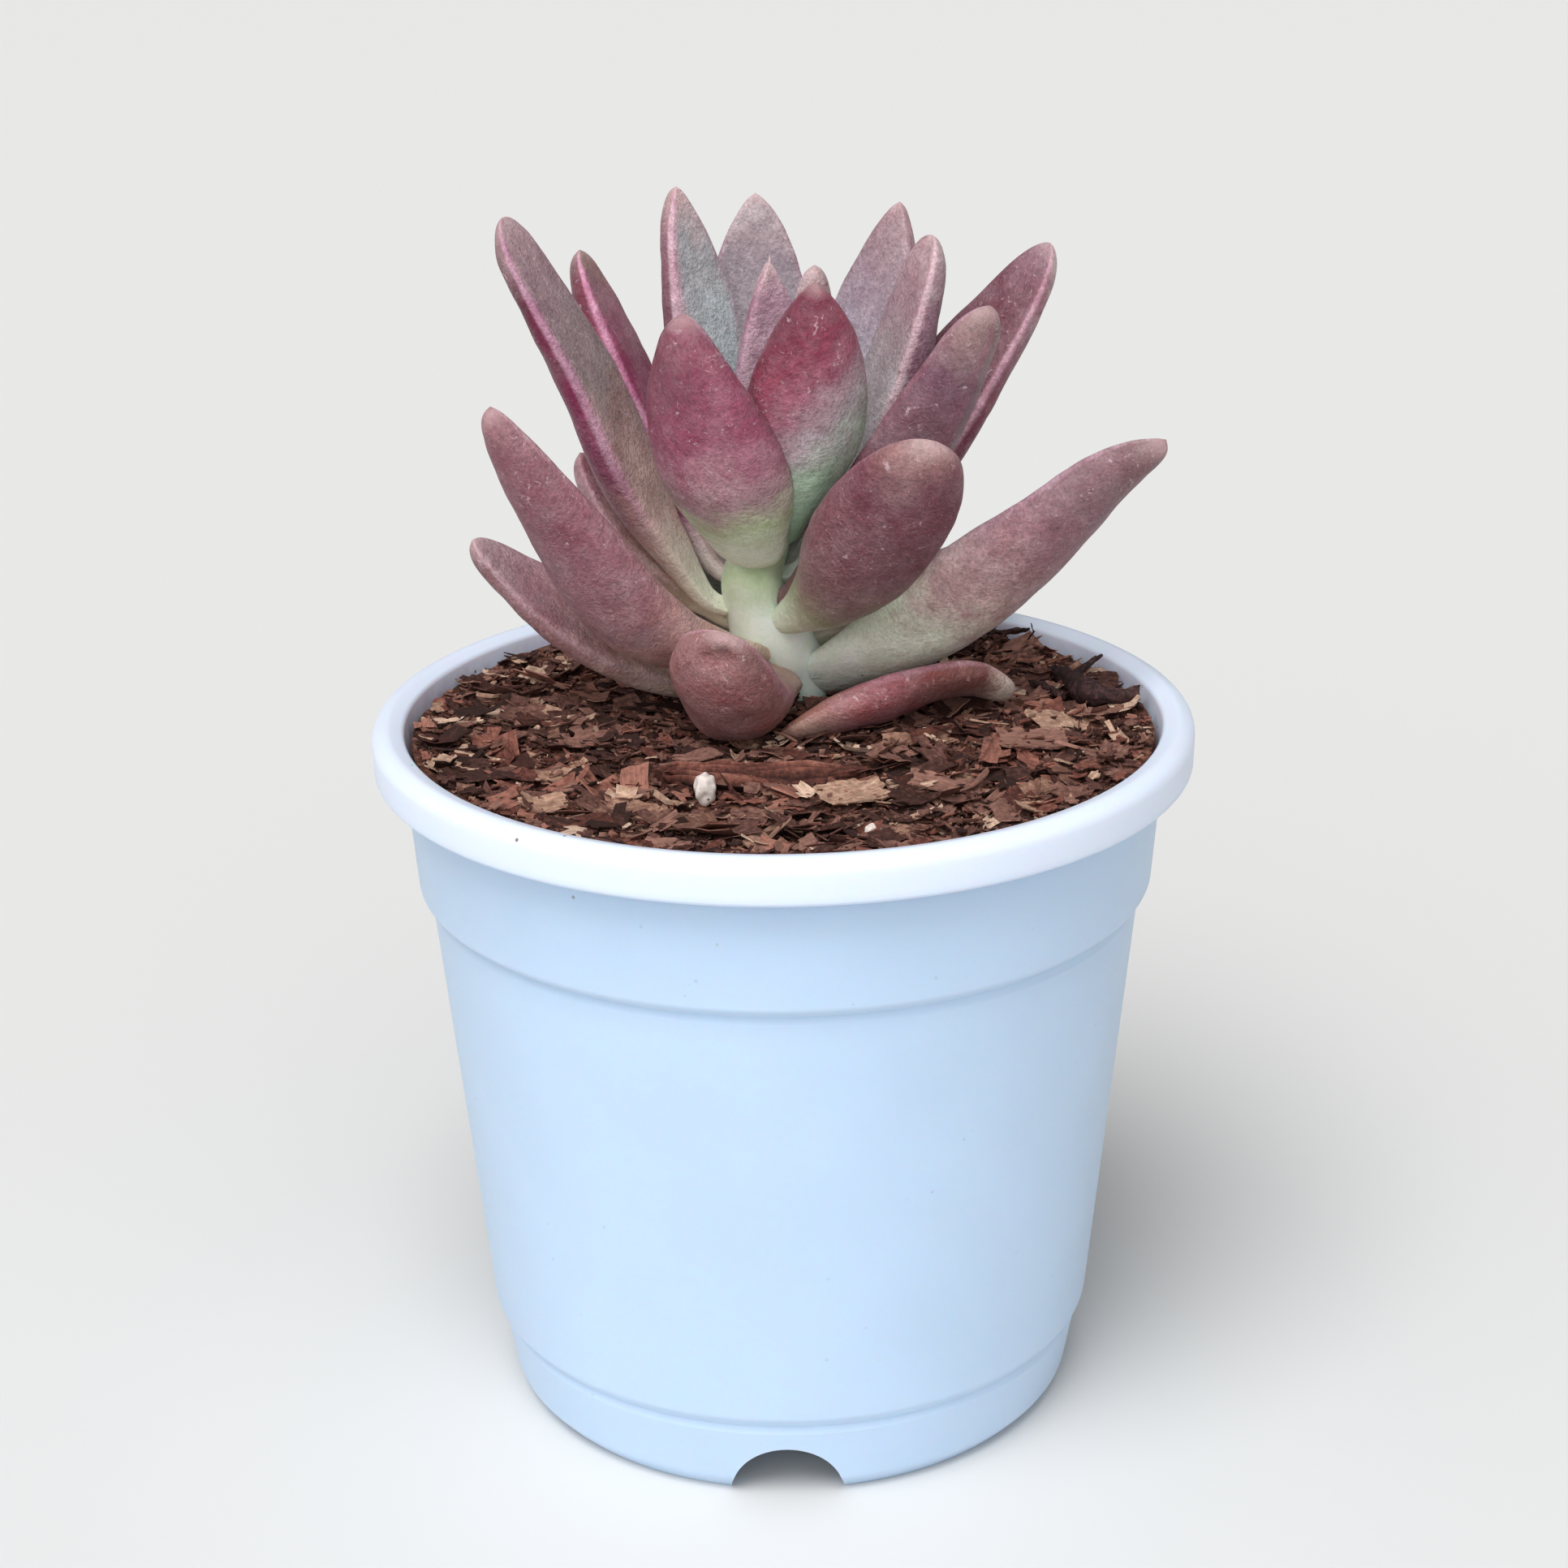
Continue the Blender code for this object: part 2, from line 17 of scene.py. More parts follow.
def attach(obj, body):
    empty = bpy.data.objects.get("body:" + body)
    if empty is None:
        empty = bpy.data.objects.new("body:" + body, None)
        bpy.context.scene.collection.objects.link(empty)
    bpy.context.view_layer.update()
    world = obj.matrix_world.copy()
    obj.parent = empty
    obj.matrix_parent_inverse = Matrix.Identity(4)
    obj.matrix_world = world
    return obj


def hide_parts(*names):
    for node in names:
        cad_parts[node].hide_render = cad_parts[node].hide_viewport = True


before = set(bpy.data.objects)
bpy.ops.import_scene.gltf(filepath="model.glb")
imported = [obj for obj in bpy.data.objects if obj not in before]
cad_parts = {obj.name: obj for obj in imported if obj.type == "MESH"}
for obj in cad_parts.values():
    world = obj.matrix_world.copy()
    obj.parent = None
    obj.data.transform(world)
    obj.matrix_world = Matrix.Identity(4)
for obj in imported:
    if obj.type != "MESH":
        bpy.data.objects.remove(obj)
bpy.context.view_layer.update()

LOG = logging.getLogger("potted_succulent")
MM = 0.001
BODY = "root"
SKIN_UV = "skin"               # u runs round a leaf or stem, v from its root to its tip
FLAKE_UV = "flake"             # millimetres along and across a flake
TONE = "tone"                  # one random number for each flake
UP = Vector((0.0, 0.0, 1.0))
SOIL_TOP = 89.6                # height of the soil under its heaps and pits
WELD = 0.02                    # points of the cut pot nearer than this become one
SPINE_STEPS = 160              # straight steps that a leaf's line is followed in
TUCKED = 12                    # one ring in this many of a leaf goes into the stem


# ---- Shared helpers ---------------------------------------------------------------------

def linear(code: str) -> tuple[float, float, float, float]:
    """Turn an sRGB hex colour to linear RGBA.

    Args:
        code: Six hex digits after a hash.

    Returns:
        Linear red, green, blue and an alpha of 1.
    """
    values = [int(code[i:i + 2], 16) / 255 for i in (1, 3, 5)]
    low = [v / 12.92 if v <= 0.04045 else ((v + 0.055) / 1.055) ** 2.4 for v in values]
    return (*low, 1.0)


def smooth_step(value: np.ndarray, low: float, high: float) -> np.ndarray:
    """Ease from 0 at low to 1 at high."""
    t = np.clip((value - low) / (high - low), 0.0, 1.0)
    return t * t * (3 - 2 * t)


def deselect_all() -> None:
    """Leave edit mode if it is on, and deselect every object."""
    if bpy.context.object is not None and bpy.context.object.mode != "OBJECT":
        bpy.ops.object.mode_set(mode="OBJECT")
    bpy.ops.object.select_all(action="DESELECT")


def finish_piece(piece: bpy.types.Object, material: bpy.types.Material,
                 nodes: tuple[str, ...] = (), sharp: float = 40.0) -> None:
    """Shade, dress and attach a finished piece.

    Args:
        piece: The piece, with its place in its mesh.
        material: Its material.
        nodes: The CAD nodes that it stands for.
        sharp: Edges bent more than this many degrees stay sharp.
    """
    deselect_all()
    piece.select_set(True)
    bpy.context.view_layer.objects.active = piece
    bpy.ops.object.transform_apply(location=True, rotation=True, scale=True)
    bpy.ops.object.shade_smooth_by_angle(angle=math.radians(sharp))
    piece.data.materials.clear()
    piece.data.materials.append(material)
    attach(piece, BODY)
    if nodes:
        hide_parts(*nodes)
    LOG.info("%s: %d faces", piece.name, len(piece.data.polygons))


def turned(name: str, outline: list[tuple[float, float]], steps: int) -> bpy.types.Object:
    """Extrude one vertex along an outline, then spin it about the Z axis.

    Args:
        name: The new object's name.
        outline: (radius, height) points, in mm.
        steps: How many sides the turned shape has.

    Returns:
        The turned object, welded, with its faces pointing out.
    """
    deselect_all()
    bpy.ops.mesh.primitive_plane_add(size=MM)
    piece = bpy.context.active_object
    piece.name = name
    bpy.ops.object.mode_set(mode="EDIT")
    bpy.ops.mesh.merge(type="CENTER")
    last = (0.0, 0.0)
    for index, (radius, height) in enumerate(outline):
        step = ((radius - last[0]) * MM, 0.0, (height - last[1]) * MM)
        if index == 0:
            bpy.ops.transform.translate(value=step)
        else:
            bpy.ops.mesh.extrude_region_move(TRANSFORM_OT_translate={"value": step})
        last = (radius, height)
    bpy.ops.mesh.select_all(action="SELECT")
    bpy.ops.mesh.spin(steps=steps, angle=2 * math.pi, center=(0, 0, 0), axis=(0, 0, 1))
    bpy.ops.mesh.select_all(action="SELECT")
    bpy.ops.mesh.remove_doubles(threshold=0.002 * MM)
    bpy.ops.mesh.normals_make_consistent(inside=False)
    bpy.ops.object.mode_set(mode="OBJECT")
    return piece


def rounded(corners: tuple, steps: int = 5) -> list[tuple[float, float]]:
    """Return the outline through (radius, height, fillet) corners, with its fillets as arcs."""
    points = []
    for index, (r, z, fillet) in enumerate(corners):
        here = Vector((r, z))
        if fillet == 0 or index in (0, len(corners) - 1):
            points.append((r, z))
            continue
        back = (Vector(corners[index - 1][:2]) - here).normalized()
        ahead = (Vector(corners[index + 1][:2]) - here).normalized()
        half = back.angle(ahead) / 2
        centre = here + (back + ahead).normalized() * (fillet / math.sin(half))
        start = here + back * (fillet / math.tan(half))
        end = here + ahead * (fillet / math.tan(half))
        for step in range(steps + 1):
            spoke = (start.lerp(end, step / steps) - centre).normalized() * fillet
            points.append(tuple(centre + spoke))
    return points


def read_points(piece: bpy.types.Object) -> np.ndarray:
    """Return a mesh's vertices as rows, in mm."""
    flat = np.empty(len(piece.data.vertices) * 3, dtype=np.float32)
    piece.data.vertices.foreach_get("co", flat)
    return flat.reshape(-1, 3).astype(float) / MM


def write_points(piece: bpy.types.Object, points: np.ndarray) -> None:
    """Move a mesh's vertices to these rows, in mm."""
    piece.data.vertices.foreach_set("co", (points * MM).astype(np.float32).ravel())
    piece.data.update()


def corners(mesh: bpy.types.Mesh) -> np.ndarray:
    """Return the vertex at each face corner of a mesh."""
    found = np.empty(len(mesh.loops), dtype=np.int32)
    mesh.loops.foreach_get("vertex_index", found)
    return found


def mark_bark(mesh: bpy.types.Mesh, flat: np.ndarray, tones: np.ndarray) -> None:
    """Store what the bark's material reads on a mesh.

    Args:
        mesh: The mesh.
        flat: Each vertex's place along and across its flake, in mm.
        tones: Each vertex's tone.
    """
    uv = mesh.uv_layers.new(name=FLAKE_UV)
    uv.data.foreach_set("uv", flat[corners(mesh)].astype(np.float32).ravel())
    tone = mesh.attributes.new(TONE, "FLOAT", "POINT")
    tone.data.foreach_set("value", tones.astype(np.float32))


def turn_about(degrees: float, axis: str) -> Matrix:
    """Return a turn about an axis."""
    return Matrix.Rotation(math.radians(degrees), 3, axis)


def lumps(points: np.ndarray, size: float, seed: float) -> np.ndarray:
    """Sample smooth noise at each point.

    Args:
        points: Rows of positions, in mm.
        size: The noise's grain, in mm.
        seed: An offset that gives each piece its own pattern.

    Returns:
        A number from about -1 to 1 for each point.
    """
    shift = Vector((seed, seed * 1.7, -seed))
    return np.array([noise.noise(Vector(p) / size + shift) for p in points])


# ---- Materials --------------------------------------------------------------------------

def add_node(tree: bpy.types.NodeTree, kind: str, inputs: dict | None = None,
             stops: tuple = (), **settings) -> bpy.types.Node:
    """Add a shader node with its settings, colour stops, values and links.

    Args:
        tree: The material's node tree.
        kind: The node's type, without its ShaderNode prefix.
        inputs: Each input's name or number, and its value, or the node or socket that
            feeds it. A node feeds it from its first output.
        stops: (position, hex colour) pairs, for a colour ramp.
        **settings: The node's own properties.

    Returns:
        The new node.
    """
    node = tree.nodes.new("ShaderNode" + kind)
    for key, value in settings.items():
        setattr(node, key, value)
    for key, value in (inputs or {}).items():
        if isinstance(value, bpy.types.Node):
            value = value.outputs[0]
        if isinstance(value, bpy.types.NodeSocket):
            tree.links.new(value, node.inputs[key])
        else:
            node.inputs[key].default_value = value
    for index, (place, code) in enumerate(stops):
        if index < 2:
            stop = node.color_ramp.elements[index]
            stop.position = place
        else:
            stop = node.color_ramp.elements.new(place)
        stop.color = linear(code)
    return node


def new_material(name: str, **values: float) -> tuple:
    """Start a material.

    Args:
        name: The real material's name.
        **values: Principled inputs that are the same all over, with _ for spaces.

    Returns:
        The material, its node tree and its Principled node.
    """
    material = bpy.data.materials.new(name)
    material.use_nodes = True
    tree = material.node_tree
    shader = tree.nodes["Principled BSDF"]
    for key, value in values.items():
        shader.inputs[key.replace("_", " ")].default_value = value
    return material, tree, shader


def dress(tree: bpy.types.NodeTree, shader: bpy.types.Node, colour: bpy.types.Node,
          height: bpy.types.Node, strength: float, depth: float) -> None:
    """Give a material its colour and its fine relief.

    Args:
        tree: The material's node tree.
        shader: Its Principled node.
        colour: The node that makes its colour.
        height: The node that makes its relief.
        strength: How much of the relief shows.
        depth: How deep the relief is, in mm.
    """
    bump = add_node(tree, "Bump", {"Height": height, "Strength": strength, "Distance": depth * MM})
    tree.links.new(colour.outputs[0], shader.inputs["Base Color"])
    tree.links.new(bump.outputs[0], shader.inputs["Normal"])


def per_mm(size: float) -> float:
    """Return the texture scale whose grain is this many mm."""
    return 1.0 / (size * MM)


@dataclass(frozen=True)
class LeafSkin:
    """Living leaf skin, grown: a waxy cuticle under a thin, dusty bloom.

    It looks matt and softly lit, with a sharper, pinker line where the skin folds at the
    margins and the keel, partly the skin's own pink and partly a painted highlight on the
    ridge, and with fine flecks, scuffs and pores.
    """

    name: str
    under: tuple               # (place from root to tip, colour) stops of the lower face
    upper: tuple               # the same for the upper face
    # the margin colour is partly the skin's own pink edge and partly painted highlight on the ridge
    margin: str = "#C59AAA"
    margin_left: float = 0.4   # how strongly each margin is tinted
    margin_right: float = 0.4
    margin_width: float = 0.45 # how far each margin's tint reaches over the upper face
    keel: float = 0.0          # how strongly the keel's line is tinted
    slant: float = 0.0         # how far the lower face's bands lean across the leaf
    bloom: float = 0.12
    flecks: float = 0.6
    pores: float = 0.6
    relief: float = 0.7        # how rough its surface is
    uneven: float = 1.0        # how much its colour varies from place to place
    tip: float = 0.45          # how pale its very tip is
    glow: float = 0.10         # how far light passes into it

    def material(self) -> bpy.types.Material:
        """Return the skin as a material."""
        material, tree, shader = new_material(
            self.name, Roughness=0.5, Specular_IOR_Level=0.26,
            Subsurface_Weight=self.glow, Subsurface_Scale=0.003,
            Sheen_Weight=0.03, Sheen_Roughness=0.45)
        shader.inputs["Subsurface Radius"].default_value = (1.0, 0.45, 0.35)
        skin = add_node(tree, "UVMap", uv_map=SKIN_UV)
        parts = add_node(tree, "SeparateXYZ", {0: skin})
        angle = add_node(tree, "Math", {0: parts, 1: 2 * math.pi}, operation="MULTIPLY")
        across = add_node(tree, "Math", {0: angle}, operation="COSINE").outputs[0]
        facing = add_node(tree, "Math", {0: angle}, operation="SINE").outputs[0]
        place = add_node(tree, "TexCoord").outputs["Object"]

        drift, cloud, mottle, scuff, grain = (
            add_node(tree, "TexNoise", {"Vector": place, "Scale": per_mm(size), "Detail": detail,
                                        "Roughness": rough, "Distortion": bend})
            for size, detail, rough, bend in (
                (7.0, 3.0, 0.6, 0.0), (4.5, 3.0, 0.65, 0.0), (1.5, 4.0, 0.66, 0.0),
                (1.3, 5.0, 0.75, 1.2), (0.45, 2.0, 0.7, 0.0)))
        sway = add_node(tree, "MapRange", {0: drift, 1: 0.25, 2: 0.75, 3: -0.09, 4: 0.09})
        lean = add_node(tree, "Math", {0: across, 1: self.slant, 2: parts.outputs[1]},
                        operation="MULTIPLY_ADD")
        along = add_node(tree, "Math", {0: lean, 1: sway}, operation="ADD").outputs[0]
        under = add_node(tree, "ValToRGB", {0: along}, stops=self.under)
        upper = add_node(tree, "ValToRGB", {0: along}, stops=self.upper)
        side = add_node(tree, "MapRange", {0: facing, 1: -0.05, 2: 0.10},
                        interpolation_type="SMOOTHSTEP")
        colour = add_node(tree, "MixRGB", {0: side, 1: under, 2: upper})

        # the margin line: the skin's own pinker margin, with a painted highlight along the ridge of
        # the fold
        edge = add_node(tree, "MapRange", {0: facing, 1: -0.08, 2: 0.08},
                        interpolation_type="SMOOTHSTEP")
        inner = add_node(tree, "MapRange", {0: facing, 1: self.margin_width,
                         2: 0.35 * self.margin_width}, interpolation_type="SMOOTHSTEP")
        margin_tint_and_highlight = add_node(tree, "Math", {0: edge, 1: inner}, operation="MULTIPLY")
        share = add_node(tree, "MapRange", {0: across, 1: -0.5, 2: 0.5, 3: self.margin_left,
                         4: self.margin_right})
        grown = add_node(tree, "MapRange", {0: parts.outputs[1], 1: 0.12, 2: 0.35})
        tint = margin_tint_and_highlight
        for factor in (share, grown):
            tint = add_node(tree, "Math", {0: tint, 1: factor}, operation="MULTIPLY")
        # the keel line: the keel's own tint, with a painted highlight along its ridge
        keel_tint_and_highlight = add_node(tree, "MapRange", {0: facing, 1: -0.965, 2: -1.0, 3: 0.0, 4: self.keel},
                         interpolation_type="SMOOTHSTEP")
        tint = add_node(tree, "Math", {0: tint, 1: keel_tint_and_highlight}, operation="MAXIMUM")
        colour = add_node(tree, "MixRGB", {0: tint, 1: colour, 2: linear(self.margin)})

        value = 1.0
        for source, darker, lighter in ((mottle, 0.16, 0.15), (grain, 0.25, 0.24),
                                        (cloud, 0.16, 0.14)):
            swing = add_node(tree, "MapRange", {0: source, 1: 0.3, 2: 0.7,
                                                3: 1 - darker * self.uneven,
                                                4: 1 + lighter * self.uneven})
            value = add_node(tree, "Math", {0: value, 1: swing}, operation="MULTIPLY")
        mature = add_node(tree, "MapRange", {0: parts.outputs[1], 1: 0.05, 2: 0.35, 3: 0.3, 4: 1.0})
        value = add_node(tree, "Math", {0: value, 1: -1.0}, operation="ADD")
        value = add_node(tree, "Math", {0: value, 1: mature, 2: 1.0}, operation="MULTIPLY_ADD")
        warm = add_node(tree, "MapRange", {0: cloud, 1: 0.35, 2: 0.65, 3: 1.15, 4: 0.88})
        colour = add_node(tree, "HueSaturation", {"Value": value, "Saturation": warm,
                          "Color": colour})
        end = add_node(tree, "MapRange", {0: parts.outputs[1], 1: 0.955, 2: 0.995, 3: 0.0,
                                          4: self.tip})
        dust = add_node(tree, "MapRange", {0: drift, 1: 0.42, 2: 0.68, 3: 0.0, 4: self.bloom})
        fleck = add_node(tree, "MapRange", {0: scuff, 1: 0.60, 2: 0.69, 3: 0.0,
                                            4: self.flecks})
        cells = add_node(tree, "TexVoronoi", {"Vector": place, "Scale": per_mm(3.6)})
        pore = add_node(tree, "MapRange", {0: cells.outputs["Distance"], 1: 0.045, 2: 0.085,
                                           3: self.pores, 4: 0.0})
        sparse = add_node(tree, "MapRange", {0: mottle, 1: 0.52, 2: 0.58})
        pore = add_node(tree, "Math", {0: pore, 1: sparse}, operation="MULTIPLY")
        for share, code in ((end, "#CAABAC"), (dust, "#A79BA0"), (fleck, "#DCC3CA"),
                            (pore, "#4A3038")):
            colour = add_node(tree, "MixRGB", {0: share, 1: colour, 2: linear(code)})
        relief = add_node(tree, "Math", {0: mottle, 1: 2.0, 2: grain}, operation="MULTIPLY_ADD")
        dress(tree, shader, colour, relief, self.relief, 0.25)
        return material


@dataclass(frozen=True)
class BarkFinish:
    """Composted pine bark and wood, torn and weathered: rough, fibrous, with no shine."""

    name: str
    tones: tuple               # colour stops that each flake's own number picks from
    fibre: float = 0.45        # fibre spacing across the flake, mm

    def material(self) -> bpy.types.Material:
        """Return the bark as a material, fibres along each flake."""
        material, tree, shader = new_material(self.name, Roughness=0.85,
                                              Specular_IOR_Level=0.25)
        tone = add_node(tree, "Attribute", attribute_name=TONE)
        place = add_node(tree, "UVMap", uv_map=FLAKE_UV)
        grain = add_node(tree, "Mapping", {"Vector": place, "Scale": (0.22 / self.fibre,
                         1 / self.fibre, 1.0)})
        fibres = add_node(tree, "TexNoise", {"Vector": grain, "Scale": 1.0, "Detail": 4.0,
                          "Roughness": 0.7})
        spots = add_node(tree, "TexNoise", {"Vector": place, "Scale": 1.3, "Detail": 3.0,
                         "Roughness": 0.6})
        shift = add_node(tree, "MapRange", {0: spots, 1: 0.3, 2: 0.7, 3: -0.22, 4: 0.22})
        pick = add_node(tree, "Math", {0: tone.outputs["Fac"], 1: shift}, operation="ADD")
        colour = add_node(tree, "ValToRGB", {0: pick}, stops=self.tones)
        shade = add_node(tree, "MapRange", {0: fibres, 1: 0.3, 2: 0.7, 3: 0.55, 4: 1.35})
        colour = add_node(tree, "HueSaturation", {"Value": shade, "Color": colour})
        dress(tree, shader, colour, fibres, 0.8, 0.25)
        return material


@dataclass(frozen=True)
class CompostFinish:
    """Damp potting compost, crumbled: very dark, granular, with paler crumbs here and there."""

    name: str = "damp potting compost, crumbled"

    def material(self) -> bpy.types.Material:
        """Return the compost as a material with crumbs 0.9 mm across."""
        material, tree, shader = new_material(self.name, Roughness=0.9,
                                              Specular_IOR_Level=0.2)
        place = add_node(tree, "TexCoord").outputs["Object"]
        crumbs = add_node(tree, "TexVoronoi", {"Vector": place, "Scale": per_mm(0.9)})
        clods = add_node(tree, "TexNoise", {"Vector": place, "Scale": per_mm(2.2), "Detail": 5.0,
                         "Roughness": 0.7})
        shade = add_node(tree, "Math", {0: crumbs.outputs["Color"], 1: 0.45, 2: clods},
                         operation="MULTIPLY_ADD")
        colour = add_node(tree, "ValToRGB", {0: shade}, stops=((0.30, "#24130F"), (1.0, "#8A5F4E"),
                          (0.5, "#3E241D"), (0.75, "#5C3A2E")))
        relief = add_node(tree, "Math", {0: crumbs.outputs["Distance"], 1: -0.6, 2: clods},
                          operation="MULTIPLY_ADD")
        dress(tree, shader, colour, relief, 1.0, 0.8)
        return material


@dataclass(frozen=True)
class PotFinish:
    """Pale blue polypropylene, injection moulded: satin, faintly translucent, a little dusty."""

    name: str = "polypropylene, injection moulded"
    colour: str = "#C0D7F0"
    # painted highlight: a paler colour over the rim and the wall above the soil; the plastic itself
    # is one colour
    rim: str = "#DEE9FD"
    specks: float = 4.2        # spacing of the specks, mm

    def material(self) -> bpy.types.Material:
        """Return the plastic: paler over the rim as a painted highlight, filmed with dust above the
        soil, and specked mostly by the rim.
        """
        material, tree, shader = new_material(self.name, Roughness=0.4,
                                              Specular_IOR_Level=0.4, Subsurface_Weight=0.35,
                                              Subsurface_Scale=0.003)
        place = add_node(tree, "TexCoord").outputs["Object"]
        parts = add_node(tree, "SeparateXYZ", {0: place})
        cloud = add_node(tree, "TexNoise", {"Vector": place, "Scale": per_mm(18.0), "Detail": 3.0})
        shade = add_node(tree, "MapRange", {0: cloud, 1: 0.3, 2: 0.7, 3: 0.975, 4: 1.02})
        colour = add_node(tree, "HueSaturation", {"Value": shade, "Color": linear(self.colour)})
        # painted highlight: above 86.5 mm the blue fades into the paler rim colour, rim top and inner
        # wall included
        rolled = add_node(tree, "MapRange", {0: parts.outputs[2], 1: 86.5 * MM, 2: 89 * MM},
                          interpolation_type="SMOOTHSTEP")
        colour = add_node(tree, "MixRGB", {0: rolled, 1: colour, 2: linear(self.rim)})
        flat = add_node(tree, "CombineXYZ", {0: parts, 1: parts.outputs[1]})
        reach = add_node(tree, "VectorMath", {0: flat}, operation="LENGTH")
        inside = add_node(tree, "MapRange", {0: reach.outputs["Value"], 1: 48.75 * MM,
                          2: 48.5 * MM})
        low = add_node(tree, "MapRange", {0: parts.outputs[2], 1: (SOIL_TOP + 3) * MM,
                       2: SOIL_TOP * MM})
        top = add_node(tree, "Math", {0: parts.outputs[2], 1: 87 * MM}, operation="GREATER_THAN")
        inside = add_node(tree, "Math", {0: inside, 1: top}, operation="MULTIPLY")
        smear = add_node(tree, "TexNoise", {"Vector": place, "Scale": per_mm(3.0), "Detail": 5.0,
                         "Roughness": 0.7})
        film = add_node(tree, "MapRange", {0: smear, 1: 0.42, 2: 0.7, 3: 0.0, 4: 0.55})
        for factor in (inside, low):
            film = add_node(tree, "Math", {0: film, 1: factor}, operation="MULTIPLY")
        colour = add_node(tree, "MixRGB", {0: film, 1: colour, 2: linear("#8E7468")})
        cells = add_node(tree, "TexVoronoi", {"Vector": place, "Scale": per_mm(self.specks)})
        dot = add_node(tree, "MapRange", {0: cells.outputs["Distance"], 1: 0.04, 2: 0.07, 3: 0.85,
                       4: 0.0})
        sparse = add_node(tree, "MapRange", {0: cloud, 1: 0.52, 2: 0.56})
        high = add_node(tree, "MapRange", {0: parts.outputs[2], 1: 80 * MM, 2: 90 * MM, 3: 0.2,
                        4: 1.0})
        for factor in (sparse, high):
            dot = add_node(tree, "Math", {0: dot, 1: factor}, operation="MULTIPLY")
        colour = add_node(tree, "MixRGB", {0: dot, 1: colour, 2: linear("#5A4038")})
        satin = add_node(tree, "TexNoise", {"Vector": place, "Scale": per_mm(1.6), "Detail": 2.0})
        dress(tree, shader, colour, satin, 0.12, 0.05)
        return material


# ---- Pot --------------------------------------------------------------------------------

